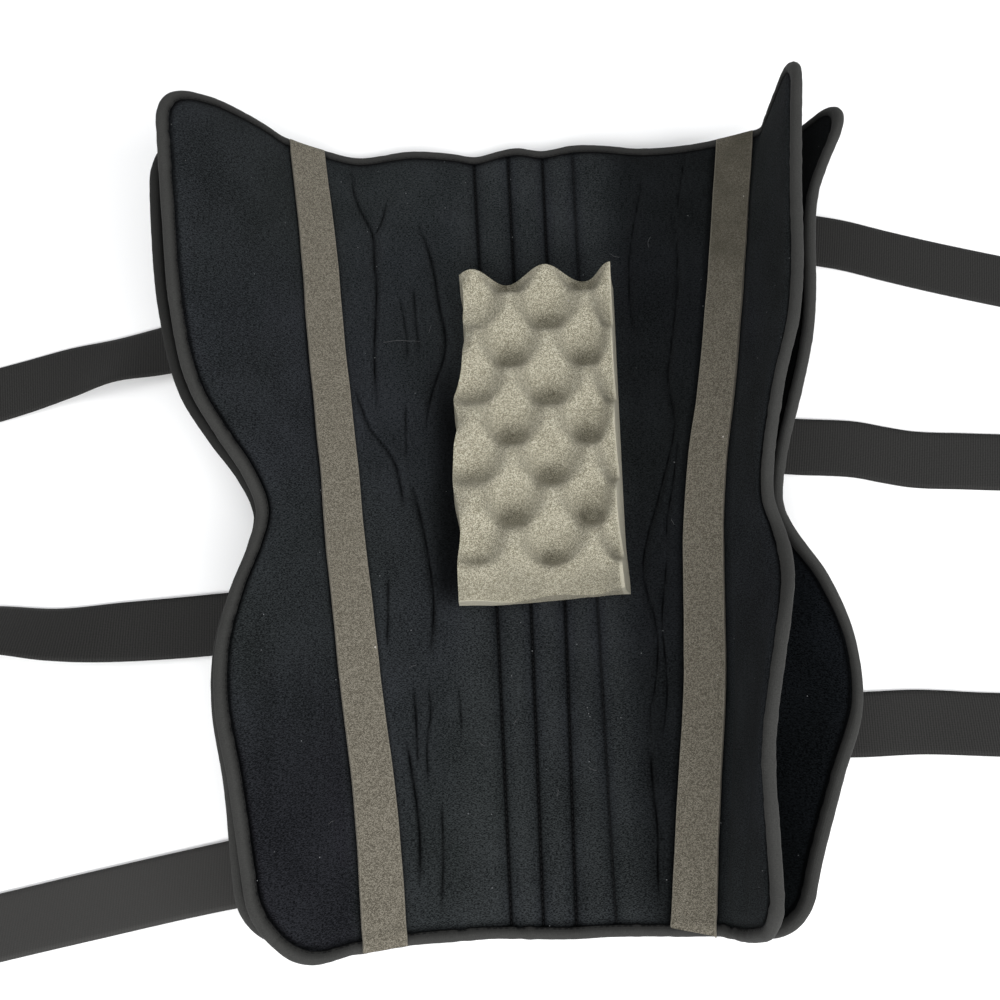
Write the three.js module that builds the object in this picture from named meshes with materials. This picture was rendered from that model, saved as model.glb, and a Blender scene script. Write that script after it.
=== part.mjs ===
import * as THREE from "three";

// The brace is cut flat and then bent. Flat pattern, millimetres: s runs across from the middle of the back
// (left is negative), y runs along the leg (thigh end positive), h stands off the cloth.
const LENGTH = 508;
const PANEL_THICK = 6;
const LEAF_THICK = 5;
const LEAF_OFFSET = 2;
const LEAF_SEAT = 0.45;
const LEAF_LAP = 8;
const EDGE_THICK = 3.2;
const FOLD_ROUND = 10;
const LINER_CORNERS = { thigh: 32, calf: 40 };
const LEAF_CORNERS = { thigh: 28, calf: 26 };
const GAP = 0.35;

const TAPE_WIDTH = 5;
const TAPE_THICK = 1.1;

const CHANNEL_PITCH = 21.5;
const CHANNEL_OFF = 8.5;
const CHANNEL_SLANT = -0.028;
const GROOVE_HALF = 3.2;
const GROOVE_DEPTH = 2.2;
const CREASE_DEPTH = 2;
const CREASE_PLACE = 0.7;

const STRIP_WIDTH = 25;
const STRIP_THICK = 2;

const PAD = { left: -42, right: 60, calf: -68, thigh: 143, base: 11, bump: 27 };
const BUMPS = { across: 23.3, along: 25.9, column: 13.3 };

const STRAP_WIDTH = 38;
const STRAP_THICK = 1.8;
const STRAP_ROOT = 11;
const STRAP_SEWN = 22;
const STRAP_FREE = 340;
const STRAP_GAP = 0.7;
const TAB_LENGTH = 50;
const TAB_WIDTH = 34;
const TAB_THICK = 1.2;

const HALF = LENGTH / 2;
const LINER_ENDS = { calf: -HALF, thigh: HALF };
const LEAF_ENDS = { calf: -HALF + 5, thigh: HALF - 15 };
const TAPE_HIGH = PANEL_THICK / 2 + GAP + TAPE_THICK;
const END_LIFT = TAPE_HIGH - PANEL_THICK / 2;

// Flat outline, one row for each station along the leg: the fold line, and the width of each wing beyond it.
const PATTERN = [
  { y: -254, fold: 103, leftWing: 60, rightWing: 60 },
  { y: -203, fold: 109.5, leftWing: 63, rightWing: 67 },
  { y: -160, fold: 114, leftWing: 66, rightWing: 71 },
  { y: -119, fold: 118.5, leftWing: 70.5, rightWing: 74 },
  { y: -86, fold: 120.5, leftWing: 68, rightWing: 70 },
  { y: -54, fold: 122.5, leftWing: 56, rightWing: 57 },
  { y: -30, fold: 124, leftWing: 47, rightWing: 47 },
  { y: -10, fold: 126, leftWing: 48, rightWing: 46 },
  { y: 12, fold: 128, leftWing: 60, rightWing: 53 },
  { y: 35, fold: 131, leftWing: 76, rightWing: 62 },
  { y: 60, fold: 134, leftWing: 88, rightWing: 71 },
  { y: 110, fold: 141, leftWing: 97, rightWing: 79 },
  { y: 167, fold: 150, leftWing: 101, rightWing: 82 },
  { y: 254, fold: 164, leftWing: 102, rightWing: 87 },
];
// How far the rows of a wing lean to the calf for each millimetre beyond the fold, at either end of the leg.
const LEAN = { calf: 0.25, thigh: 0.06 };

// How each half is bent: the width that lies flat, then slopes in degrees of the back at the fold, of the
// liner's wing at its root and tip, and of the leaf behind it, and what the leaf is narrower than the wing.
const LEFT = [
  { y: -254, flat: 25, back: 24, root: 32, tip: 28, leafRoot: 29, leafTip: 25, leafTrim: 14 },
  { y: -160, flat: 35, back: 24, root: 37, tip: 36, leafRoot: 34, leafTip: 33, leafTrim: 6 },
  { y: -18, flat: 50, back: 24, root: 37, tip: 37, leafRoot: 33, leafTip: 33, leafTrim: 6 },
  { y: 83, flat: 66, back: 25, root: 36, tip: 38, leafRoot: 32, leafTip: 34, leafTrim: 4 },
  { y: 167, flat: 85, back: 26, root: 42, tip: 47, leafRoot: 38, leafTip: 42, leafTrim: 5 },
  { y: 254, flat: 103, back: 27, root: 48, tip: 60, leafRoot: 43, leafTip: 53, leafTrim: 8 },
];
const RIGHT = [
  { y: -254, flat: 20, back: 28, root: 78, tip: 90, leafRoot: 44, leafTip: 48, leafTrim: 18 },
  { y: -203, flat: 20, back: 28, root: 80, tip: 96, leafRoot: 34, leafTip: 36, leafTrim: 17 },
  { y: -160, flat: 20, back: 29, root: 80, tip: 99, leafRoot: 24, leafTip: 20, leafTrim: 10 },
  { y: -119, flat: 20, back: 29, root: 76, tip: 95, leafRoot: 18, leafTip: 9, leafTrim: 5 },
  { y: -86, flat: 20, back: 30, root: 73, tip: 86, leafRoot: 19, leafTip: 9, leafTrim: 3 },
  { y: -54, flat: 20, back: 30, root: 70, tip: 80, leafRoot: 34, leafTip: 30, leafTrim: 5 },
  { y: -18, flat: 20, back: 30, root: 67, tip: 82, leafRoot: 59, leafTip: 70, leafTrim: 11 },
  { y: 83, flat: 20, back: 25, root: 70, tip: 89, leafRoot: 66, leafTip: 80, leafTrim: 13 },
  { y: 167, flat: 20, back: 21, root: 74, tip: 98, leafRoot: 68, leafTip: 85, leafTrim: 13 },
  { y: 254, flat: 20, back: 19, root: 76, tip: 105, leafRoot: 59, leafTip: 67, leafTrim: 13 },
];

// Rise of the back at its thigh end, where the stays and the lining push it off the table.
const RIPPLES = [
  { s: -135, rise: 0 },
  { s: -114, rise: 0 },
  { s: -78, rise: 6 },
  { s: -33, rise: 0.5 },
  { s: -6, rise: 6 },
  { s: 14, rise: 4.5 },
  { s: 37, rise: 7 },
  { s: 81, rise: 1.5 },
  { s: 112, rise: 0 },
  { s: 135, rise: 0 },
];
const RIPPLE_FROM = 165;

// Straps: station where each is sewn to its leaf, and the way its free end points on the table.
const STRAPS = [
  { name: "strap_left_upper", sign: -1, y: 129, heading: -14 },
  { name: "strap_left_middle", sign: -1, y: -72.5, heading: -2 },
  { name: "strap_left_lower", sign: -1, y: -209, heading: -11 },
  { name: "strap_right_upper", sign: 1, y: 194, heading: -15 },
  { name: "strap_right_middle", sign: 1, y: 38, heading: -5 },
  { name: "strap_right_lower", sign: 1, y: -138.5, heading: -1 },
];

// Rows of the liner and of the leaves, measured from the calf end of each.
const ROWS = [
  0, 5, 14, 28, 46, 70, 97, 124, 150, 172, 191, 207, 222, 237, 252, 268, 287, 312, 344, 380, 416, 448, 472,
  488, 503, 508,
];
const LEAF_ROWS = [
  0, 5, 14, 26, 46, 78, 112, 144, 172, 194, 212, 229, 247, 267, 294, 328, 366, 404, 436, 459, 474, 483, 488,
];

const FABRIC = new THREE.MeshStandardMaterial({ color: 0x1b1e23, roughness: 0.95 });
const SHELL = new THREE.MeshStandardMaterial({ color: 0x1d1f22, roughness: 0.95 });
const TAPE = new THREE.MeshStandardMaterial({ color: 0x33322f, roughness: 0.8 });
const GRIP_FOAM = new THREE.MeshStandardMaterial({ color: 0x6f685b, roughness: 1 });
const PAD_FOAM = new THREE.MeshStandardMaterial({ color: 0xa59e8a, roughness: 1 });
const WEBBING = new THREE.MeshStandardMaterial({ color: 0x2f2e2c, roughness: 0.75 });
const HOOK = new THREE.MeshStandardMaterial({ color: 0x222222, roughness: 0.6 });

// Reads any column of a table between its rows, on a smooth curve through them.
function reader(rows, key) {
  const stations = rows.map((row) => row[key]);
  const curves = {};
  for (const column of Object.keys(rows[0])) {
    curves[column] = new THREE.CubicInterpolant(stations, rows.map((row) => row[column]), 1);
  }
  return (column, at) => curves[column].evaluate(at)[0];
}

// Each half reads its outline and its bend by the name of the column.
function halfReader(bends, wing) {
  const outline = reader(PATTERN, "y");
  const bend = reader(bends, "y");
  return (column, y) => {
    if (column === "wing") return outline(wing, y);
    return column === "fold" ? outline("fold", y) : bend(column, y);
  };
}

const leftAt = halfReader(LEFT, "leftWing");
const rightAt = halfReader(RIGHT, "rightWing");
const rippleAt = reader(RIPPLES, "s");
const sideOf = (s) => (s < 0 ? leftAt : rightAt);
const radians = THREE.MathUtils.degToRad;

// Goes a length along a chain of arcs from the level; the last arc runs on past its end.
function follow(chain, length) {
  let x = 0;
  let z = 0;
  let slope = 0;
  let left = length;
  chain.forEach((arc, index) => {
    const step = index === chain.length - 1 ? left : Math.min(left, arc.length);
    const turn = arc.length > 0 ? (arc.turn * step) / arc.length : 0;
    if (Math.abs(turn) < 1e-9) {
      x += step * Math.cos(slope);
      z += step * Math.sin(slope);
    } else {
      x += (step / turn) * (Math.sin(slope + turn) - Math.sin(slope));
      z += (step / turn) * (Math.cos(slope) - Math.cos(slope + turn));
    }
    slope += turn;
    left -= step;
  });
  return { x, z, slope };
}

function bendChain(at, y, root, tip) {
  const back = radians(at("back", y));
  const wingRoot = radians(at(root, y));
  return [
    { length: at("flat", y), turn: 0 },
    { length: at("fold", y) - at("flat", y), turn: back },
    { length: FOLD_ROUND, turn: wingRoot - back },
    { length: at("wing", y) - FOLD_ROUND, turn: radians(at(tip, y)) - wingRoot },
  ];
}

// Height of the cloth's middle off its bent line: the ripples at the thigh end, and the ends standing on
// their tape.
function rise(s, y) {
  const nearEnd = THREE.MathUtils.smoothstep(y, RIPPLE_FROM, HALF);
  const ripple = Math.abs(s) < 135 ? rippleAt("rise", s) * nearEnd : 0;
  return ripple + END_LIFT * THREE.MathUtils.smoothstep(Math.abs(y), HALF - 45, HALF - 8);
}

const leanAt = (y) => THREE.MathUtils.mapLinear(y, -HALF, HALF, LEAN.calf, LEAN.thigh);

// Bends a point of the flat pattern.
function bendWith(root, tip, lift) {
  return (s, y, h) => {
    const sign = s < 0 ? -1 : 1;
    const at = sideOf(s);
    const chain = bendChain(at, y, root, tip);
    const point = follow(chain, Math.abs(s));
    const beyond = Math.max(point.x - follow(chain, at("fold", y)).x, 0);
    const x = point.x - Math.sin(point.slope) * h;
    const z = PANEL_THICK / 2 + lift(s, y) + point.z + Math.cos(point.slope) * h;
    return new THREE.Vector3(sign * x, y - leanAt(y) * beyond, z);
  };
}

const bendLiner = bendWith("root", "tip", rise);
const bendLeaf = bendWith("leafRoot", "leafTip", () => 0);

// Height of a leaf's middle off the liner's: it is sewn on along the fold and stands off for the tape
// elsewhere.
function leafMiddle(s, y) {
  const beyond = Math.abs(s) - sideOf(s)("fold", y);
  const fromEnd = Math.min(y - LEAF_ENDS.calf, LEAF_ENDS.thigh - y);
  const across = 1 - THREE.MathUtils.smoothstep(beyond, -1, FOLD_ROUND / 2);
  const seated = across * THREE.MathUtils.smoothstep(fromEnd, TAPE_WIDTH + 1, TAPE_WIDTH + 21);
  return -(PANEL_THICK + LEAF_THICK) / 2 - THREE.MathUtils.lerp(LEAF_OFFSET, LEAF_SEAT, seated);
}

const linerEdge = (s, y) => sideOf(s)("fold", y) + sideOf(s)("wing", y);
const leafEdge = (s, y) => linerEdge(s, y) - sideOf(s)("leafTrim", y);

// Pulls a square corner of the flat pattern in to a quarter circle.
function roundCorner(s, y, ends, corners, edgeAt) {
  const end = y > 0 ? "thigh" : "calf";
  const radius = corners[end];
  const inner = ends[end] - Math.sign(y) * radius;
  const sign = s < 0 ? -1 : 1;
  const across = (Math.abs(s) - (edgeAt(s, y) - radius)) / radius;
  const along = (Math.sign(y) * (y - inner)) / radius;
  if (across <= 0 || along <= 0) {
    return new THREE.Vector2(s, y);
  }
  const a = across * Math.sqrt(1 - (along * along) / 2);
  const b = along * Math.sqrt(1 - (across * across) / 2);
  const rounded = inner + Math.sign(y) * b * radius;
  return new THREE.Vector2(sign * (edgeAt(s, rounded) - radius + a * radius), rounded);
}

// Rim of a grid, once round: calf row, right column, thigh row, left column.
function rimOf(rows, columns) {
  const rim = [];
  for (let i = 0; i < columns - 1; i += 1) rim.push([0, i]);
  for (let j = 0; j < rows - 1; j += 1) rim.push([j, columns - 1]);
  for (let i = columns - 1; i > 0; i -= 1) rim.push([rows - 1, i]);
  for (let j = rows - 1; j > 0; j -= 1) rim.push([j, 0]);
  return rim;
}

// Keeps the triangles of a four-sided patch, split on its shorter diagonal.
function addPatch(triangles, points, a, b, c, d) {
  if (points[a].distanceTo(points[c]) <= points[b].distanceTo(points[d])) {
    triangles.push([a, b, c], [a, c, d]);
  } else {
    triangles.push([a, b, d], [b, c, d]);
  }
}

function solid(name, points, triangles, material) {
  const volume = triangles.reduce((sum, [a, b, c]) => {
    const across = new THREE.Vector3().crossVectors(points[b], points[c]);
    return sum + points[a].dot(across);
  }, 0);
  const faces = volume < 0 ? triangles.map(([a, b, c]) => [a, c, b]) : triangles;
  const geometry = new THREE.BufferGeometry();
  geometry.setAttribute("position", new THREE.Float32BufferAttribute(points.flatMap((p) => p.toArray()), 3));
  geometry.setIndex(faces.flat());
  geometry.computeVertexNormals();
  const mesh = new THREE.Mesh(geometry, material);
  mesh.name = name;
  return mesh;
}

// Closed sheet between a grid of top points and a grid of bottom points.
function sheet(name, top, bottom, material) {
  const rows = top.length;
  const columns = top[0].length;
  const points = [...top.flat(), ...bottom.flat()];
  const under = rows * columns;
  const triangles = [];
  const place = (j, i) => j * columns + i;
  for (let j = 0; j < rows - 1; j += 1) {
    for (let i = 0; i < columns - 1; i += 1) {
      const corners = [place(j, i), place(j, i + 1), place(j + 1, i + 1), place(j + 1, i)];
      addPatch(triangles, points, ...corners);
      addPatch(triangles, points, ...corners.reverse().map((corner) => under + corner));
    }
  }
  const rim = rimOf(rows, columns).map(([j, i]) => place(j, i));
  rim.forEach((a, k) => {
    const b = rim[(k + 1) % rim.length];
    addPatch(triangles, points, under + a, under + b, b, a);
  });
  return solid(name, points, triangles, material);
}

// Half thickness of a panel: full inside, squeezed towards the edge under the tape.
function squeezed(point, edge, thick) {
  const nearest = Math.min(...edge.map(({ point: a }, k) => {
    const b = edge[(k + 1) % edge.length].point;
    const line = new THREE.Line3(new THREE.Vector3(a.x, a.y, 0), new THREE.Vector3(b.x, b.y, 0));
    const flat = new THREE.Vector3(point.x, point.y, 0);
    return line.closestPointToPoint(flat, true, new THREE.Vector3()).distanceTo(flat);
  }));
  return THREE.MathUtils.lerp(EDGE_THICK, thick, Math.min(nearest / TAPE_WIDTH, 1)) / 2;
}

// Tape folded over an edge: section points as distance in from the edge and height off the panel's middle.
function tapeSection(thick) {
  const face = thick / 2 + GAP;
  const nose = EDGE_THICK / 2 + GAP;
  return [
    [TAPE_WIDTH, face],
    [2, face + TAPE_THICK],
    [-GAP - TAPE_THICK, EDGE_THICK / 2],
    [-GAP - TAPE_THICK, -EDGE_THICK / 2],
    [2, -face - TAPE_THICK],
    [TAPE_WIDTH, -face],
    [-GAP, -nose],
    [-GAP, nose],
  ];
}

// Rim of a flat panel: each point of its edge with the way in from it, along the panel's rows and columns.
function edgeOf(flat) {
  const rows = flat.length;
  const columns = flat[0].length;
  return rimOf(rows, columns).map(([j, i]) => {
    const point = flat[j][i];
    const inward = new THREE.Vector2();
    if (i === 0) inward.add(flat[j][1].clone().sub(point).normalize());
    if (i === columns - 1) inward.add(flat[j][i - 1].clone().sub(point).normalize());
    if (j === 0) inward.add(flat[1][i].clone().sub(point).normalize());
    if (j === rows - 1) inward.add(flat[j - 1][i].clone().sub(point).normalize());
    return { point, inward: inward.normalize() };
  });
}

// Lays a tape along an edge, then bends it with the panel.
function tape(name, edge, closed, thick, bend, material) {
  const section = tapeSection(thick);
  const count = edge.length;
  const points = [];
  for (const { point, inward } of edge) {
    for (const [depth, high] of section) {
      const flat = point.clone().addScaledVector(inward, depth);
      points.push(bend(flat.x, flat.y, high));
    }
  }
  const size = section.length;
  const triangles = [];
  for (let k = 0; k < (closed ? count : count - 1); k += 1) {
    for (let m = 0; m < size; m += 1) {
      const here = k * size;
      const next = ((k + 1) % count) * size;
      const after = (m + 1) % size;
      addPatch(triangles, points, here + m, next + m, next + after, here + after);
    }
  }
  if (!closed) {
    const outline = section.map(([inward, high]) => new THREE.Vector2(inward, high));
    const turn = THREE.ShapeUtils.area(outline);
    const end = (count - 1) * size;
    for (const [a, b, c] of THREE.ShapeUtils.triangulateShape(outline, [])) {
      const ordered = THREE.ShapeUtils.area([outline[a], outline[b], outline[c]]) * turn > 0;
      const [p, q] = ordered ? [b, c] : [c, b];
      triangles.push([a, p, q], [end + a, end + q, end + p]);
    }
  }
  return solid(name, points, triangles, material);
}

const stripInner = (at, y) => at("fold", y) - 1 - STRIP_WIDTH;

// Columns of the liner from the channels out to one edge, with the groove that each carries.
function wingColumns(sign, y, channelSide) {
  const at = sign < 0 ? leftAt : rightAt;
  const between = (part) => THREE.MathUtils.lerp(sign * channelSide, stripInner(at, y), part);
  const fold = at("fold", y);
  const tapeStart = fold + at("wing", y) - TAPE_WIDTH;
  const onWing = (part) => THREE.MathUtils.lerp(fold + FOLD_ROUND, tapeStart, part);
  const crease = between(CREASE_PLACE);
  const plain = [
    between(0.33), crease - GROOVE_HALF, crease + GROOVE_HALF, between(1),
    between(1) + STRIP_WIDTH / 2, fold - 1, fold + FOLD_ROUND / 2, onWing(0), onWing(0.35), onWing(0.7),
    tapeStart, tapeStart + TAPE_WIDTH,
  ].map((s) => ({ s, groove: 0 }));
  plain.splice(2, 0, { s: crease, groove: CREASE_DEPTH });
  return plain.map(({ s, groove }) => ({ s: sign * s, groove }));
}

// Columns across the whole liner: three stay channels between four stitch lines in the middle.
function linerColumns(y) {
  const middle = CHANNEL_OFF + CHANNEL_SLANT * y;
  const channels = [];
  for (let half = -3; half <= 3; half += 1) {
    const s = middle + (half * CHANNEL_PITCH) / 2;
    const stitched = half % 2 !== 0;
    if (stitched) channels.push({ s: s - GROOVE_HALF, groove: 0 });
    channels.push({ s, groove: stitched ? GROOVE_DEPTH : 0 });
    if (stitched) channels.push({ s: s + GROOVE_HALF, groove: 0 });
  }
  const left = wingColumns(-1, y, channels[0].s);
  return [...left.reverse(), ...channels, ...wingColumns(1, y, channels[channels.length - 1].s)];
}

// Share of a groove's depth that is left near the ends, where the tape holds the layers flat.
const grooveShare = (y) => THREE.MathUtils.smoothstep(HALF - Math.abs(y), TAPE_WIDTH, TAPE_WIDTH + 14);

function linerPieces() {
  const columns = ROWS.map((row) => linerColumns(row - HALF));
  const flat = columns.map((row, j) => {
    const y = ROWS[j] - HALF;
    return row.map(({ s }) => roundCorner(s, y, LINER_ENDS, LINER_CORNERS, linerEdge));
  });
  const edge = edgeOf(flat);
  const half = flat.map((row) => row.map((point) => squeezed(point, edge, PANEL_THICK)));
  const top = flat.map((row, j) => row.map((point, i) => {
    const groove = columns[j][i].groove * grooveShare(point.y);
    return bendLiner(point.x, point.y, half[j][i] - groove);
  }));
  const bottom = flat.map((row, j) => row.map((point, i) => bendLiner(point.x, point.y, -half[j][i])));
  return [
    sheet("liner_panel", top, bottom, FABRIC),
    tape("liner_binding", edge, true, PANEL_THICK, bendLiner, TAPE),
  ];
}

function leafPieces(sign, word) {
  const at = sign < 0 ? leftAt : rightAt;
  const bend = (s, y, h) => bendLeaf(s, y, leafMiddle(s, y) + h);
  const flat = LEAF_ROWS.map((row) => {
    const y = row + LEAF_ENDS.calf;
    const fold = at("fold", y);
    const wing = fold + FOLD_ROUND;
    const tapeStart = leafEdge(sign, y) - TAPE_WIDTH;
    const columns = [fold - LEAF_LAP, fold - 1, fold + FOLD_ROUND / 2, wing];
    columns.push(THREE.MathUtils.lerp(wing, tapeStart, 0.35), THREE.MathUtils.lerp(wing, tapeStart, 0.7));
    columns.push(tapeStart, tapeStart + TAPE_WIDTH);
    return columns.map((s) => roundCorner(sign * s, y, LEAF_ENDS, LEAF_CORNERS, leafEdge));
  });
  const rows = flat.length;
  const columns = flat[0].length;
  const edge = edgeOf(flat);
  const freeEdge = edge.slice(0, 2 * columns + rows - 2);
  freeEdge[0].inward.set(0, 1);
  freeEdge[freeEdge.length - 1].inward.set(0, -1);
  const thick = flat.map((row) => row.map((point) => squeezed(point, edge, LEAF_THICK)));
  const top = flat.map((row, j) => row.map((point, i) => bend(point.x, point.y, thick[j][i])));
  const bottom = flat.map((row, j) => row.map((point, i) => bend(point.x, point.y, -thick[j][i])));
  return [
    sheet(`side_panel_${word}`, top, bottom, SHELL),
    tape(`side_panel_${word}_binding`, freeEdge, false, LEAF_THICK, bend, TAPE),
  ];
}

// Grip strip: lies on the liner just inside the fold and climbs over the tape at both ends.
function gripStrip(sign, word) {
  const at = sign < 0 ? leftAt : rightAt;
  const bottom = [];
  const top = [];
  const ends = [0, TAPE_WIDTH + 1, TAPE_WIDTH + 9];
  const stations = [...ends, ...ROWS.slice(3, -4), ...ends.map((end) => LENGTH - end).reverse()];
  for (const station of stations) {
    const y = station - HALF;
    const overTape = Math.min(station, LENGTH - station) < TAPE_WIDTH + 5;
    const under = PANEL_THICK / 2 + GAP + (overTape ? TAPE_THICK + GAP : 0);
    const inner = stripInner(at, y);
    const across = [inner, inner + STRIP_WIDTH / 2, inner + STRIP_WIDTH].map((s) => sign * s);
    bottom.push(across.map((s) => bendLiner(s, y, under)));
    top.push(across.map((s) => bendLiner(s, y, under + STRIP_THICK)));
  }
  return sheet(`grip_strip_${word}`, top, bottom, GRIP_FOAM);
}

// Egg-crate pad: bumps and pits take turns both ways over a flat base.
function popliteaPad() {
  const columns = 14;
  const rows = 27;
  const top = [];
  const bottom = [];
  for (let j = 0; j < rows; j += 1) {
    const y = THREE.MathUtils.lerp(PAD.calf, PAD.thigh, j / (rows - 1));
    const acrossPad = Array.from({ length: columns }, (_, i) => {
      return THREE.MathUtils.lerp(PAD.left, PAD.right, i / (columns - 1));
    });
    const under = PANEL_THICK / 2 + GAP;
    bottom.push(acrossPad.map((s) => bendLiner(s, y, under)));
    top.push(acrossPad.map((s) => {
      const across = Math.cos((Math.PI * (s - BUMPS.column)) / BUMPS.across);
      const wave = across * Math.cos((Math.PI * (PAD.thigh - y)) / BUMPS.along);
      return bendLiner(s, y, under + PAD.base + (PAD.bump * (1 + wave)) / 2);
    }));
  }
  return sheet("popliteal_pad", top, bottom, PAD_FOAM);
}

// One thread line of a strap: sewn down the outside of the leaf, turned under at the fold, then out along
// the table.
function strapLine(strap, across) {
  const heading = radians(strap.heading);
  const out = new THREE.Vector3(strap.sign * Math.cos(heading), Math.sin(heading), 0);
  const at = sideOf(strap.sign);
  const y = strap.y + across;
  const root = at("fold", y) + STRAP_ROOT;
  const outside = leafMiddle(strap.sign * root, y) - LEAF_THICK / 2 - STRAP_GAP - STRAP_THICK / 2;
  const sewn = (length, h) => bendLeaf(strap.sign * (root + STRAP_SEWN - length), y, outside - h);
  const start = sewn(STRAP_SEWN, 0);
  const slope = follow(bendChain(at, y, "leafRoot", "leafTip"), root).slope;
  const radius = (start.z - STRAP_THICK / 2) / (1 + Math.cos(slope));
  const under = { length: radius * (Math.PI - slope), turn: Math.PI - slope };
  const chain = [{ length: 1e-6, turn: slope - Math.PI }, under, { length: STRAP_FREE, turn: 0 }];
  const free = (length, h) => {
    const point = follow(chain, length);
    const place = start.clone().addScaledVector(out, point.x - Math.sin(point.slope) * h);
    return place.setZ(start.z + point.z + Math.cos(point.slope) * h);
  };
  return {
    turned: under.length,
    at: (length, h) => (length <= STRAP_SEWN ? sewn(length, h) : free(length - STRAP_SEWN, h)),
  };
}

function strapPieces(strap) {
  const lines = [-0.5, 0, 0.5].map((part) => strapLine(strap, part * STRAP_WIDTH));
  const whole = STRAP_SEWN + STRAP_FREE;
  const lengthsOf = ({ turned }) => {
    const stages = [
      { length: STRAP_SEWN, steps: 2 },
      { length: turned, steps: 6 },
      { length: STRAP_FREE - turned, steps: 3 },
    ];
    const lengths = [0];
    for (const { length, steps } of stages) {
      const from = lengths[lengths.length - 1];
      for (let step = 1; step <= steps; step += 1) lengths.push(from + (length * step) / steps);
    }
    return lengths;
  };
  const layer = (h) => {
    const columns = lines.map((line) => lengthsOf(line).map((length) => line.at(length, h)));
    return columns[0].map((_, k) => columns.map((column) => column[k]));
  };
  const inset = (STRAP_WIDTH - TAB_WIDTH) / 2 / STRAP_WIDTH;
  const tabLayer = (h) => [whole - TAB_LENGTH - 2, whole - 2].map((length) => {
    const [near, , far] = lines.map((line) => line.at(length, h));
    return [near.clone().lerp(far, inset), far.clone().lerp(near, inset)];
  });
  const tabUnder = STRAP_THICK / 2 + GAP;
  return [
    sheet(strap.name, layer(STRAP_THICK / 2), layer(-STRAP_THICK / 2), WEBBING),
    sheet(`${strap.name}_tab`, tabLayer(tabUnder + TAB_THICK), tabLayer(tabUnder), HOOK),
  ];
}

const brace = new THREE.Group();
brace.name = "knee_immobilizer";
brace.add(...linerPieces());
brace.add(...leafPieces(-1, "left"), ...leafPieces(1, "right"));
brace.add(gripStrip(-1, "left"), gripStrip(1, "right"), popliteaPad());
for (const strap of STRAPS) {
  brace.add(...strapPieces(strap));
}

export default brace;
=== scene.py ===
import math

import bpy
import numpy as np
from mathutils import Matrix, Vector, kdtree, noise


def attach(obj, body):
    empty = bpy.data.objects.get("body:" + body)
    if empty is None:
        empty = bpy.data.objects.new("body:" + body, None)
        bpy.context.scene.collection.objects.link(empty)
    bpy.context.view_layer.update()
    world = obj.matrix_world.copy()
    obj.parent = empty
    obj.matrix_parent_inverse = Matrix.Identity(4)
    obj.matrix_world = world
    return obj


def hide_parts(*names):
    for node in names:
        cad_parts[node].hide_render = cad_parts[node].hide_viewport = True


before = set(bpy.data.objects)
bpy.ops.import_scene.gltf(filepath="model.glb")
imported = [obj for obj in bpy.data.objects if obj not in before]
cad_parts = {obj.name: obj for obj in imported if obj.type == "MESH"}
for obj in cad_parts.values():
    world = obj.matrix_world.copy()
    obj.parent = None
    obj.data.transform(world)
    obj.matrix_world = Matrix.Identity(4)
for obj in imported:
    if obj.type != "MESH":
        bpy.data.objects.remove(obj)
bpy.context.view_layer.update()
scene = bpy.context.scene
mm = 0.001
print("frame loaded with", len(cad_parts), "solids")


# camera, floor and light

cameraLook = {
    "focalPixels": 981,
    "imagePixels": 1000,
    "tilt": 16.5,        # degrees off straight down, standing at the calf end
    "roll": 0.8,
    "distance": 627,
    "aim": (-17, 1.5, 0),
    "clipStart": 0.01,   # metres
}


def linkObject(name, data):
    holder = bpy.data.objects.new(name, data)
    scene.collection.objects.link(holder)
    return holder


def makeCamera(look):
    tilt, roll = math.radians(look["tilt"]), math.radians(look["roll"])
    level = Vector((math.sin(roll), math.cos(roll), 0))
    forward = level * math.sin(tilt) - Vector((0, 0, math.cos(tilt)))
    up = level * math.cos(tilt) + Vector((0, 0, math.sin(tilt)))
    data = bpy.data.cameras.new("photoCamera")
    data.lens = data.sensor_width * look["focalPixels"] / look["imagePixels"]
    data.clip_start = look["clipStart"]
    camera = linkObject("photoCamera", data)
    turn = Matrix((forward.cross(up), up, -forward)).transposed().to_4x4()
    stand = (Vector(look["aim"]) - forward * look["distance"]) * mm
    camera.matrix_world = Matrix.Translation(stand) @ turn
    scene.camera = camera


studio = {
    "floorSize": 6.0,
    "floorDrop": 0.0003,
    "floorTone": (0.93, 0.93, 0.93, 1),
    "skyTone": (0.97, 0.985, 1, 1),
    "skyStrength": 0.52,
    "lamps": [
        # name, place in metres, width and height, power
        ("keyLamp", (0.2, -1.1, 1.1), (4.0, 0.7), 44.0),
        ("sideLamp", (1.35, -0.2, 1.0), (0.8, 0.8), 9.0),
        ("topLamp", (-0.4, 0.2, 1.6), (1.4, 1.4), 8.0),
    ],
}


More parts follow.
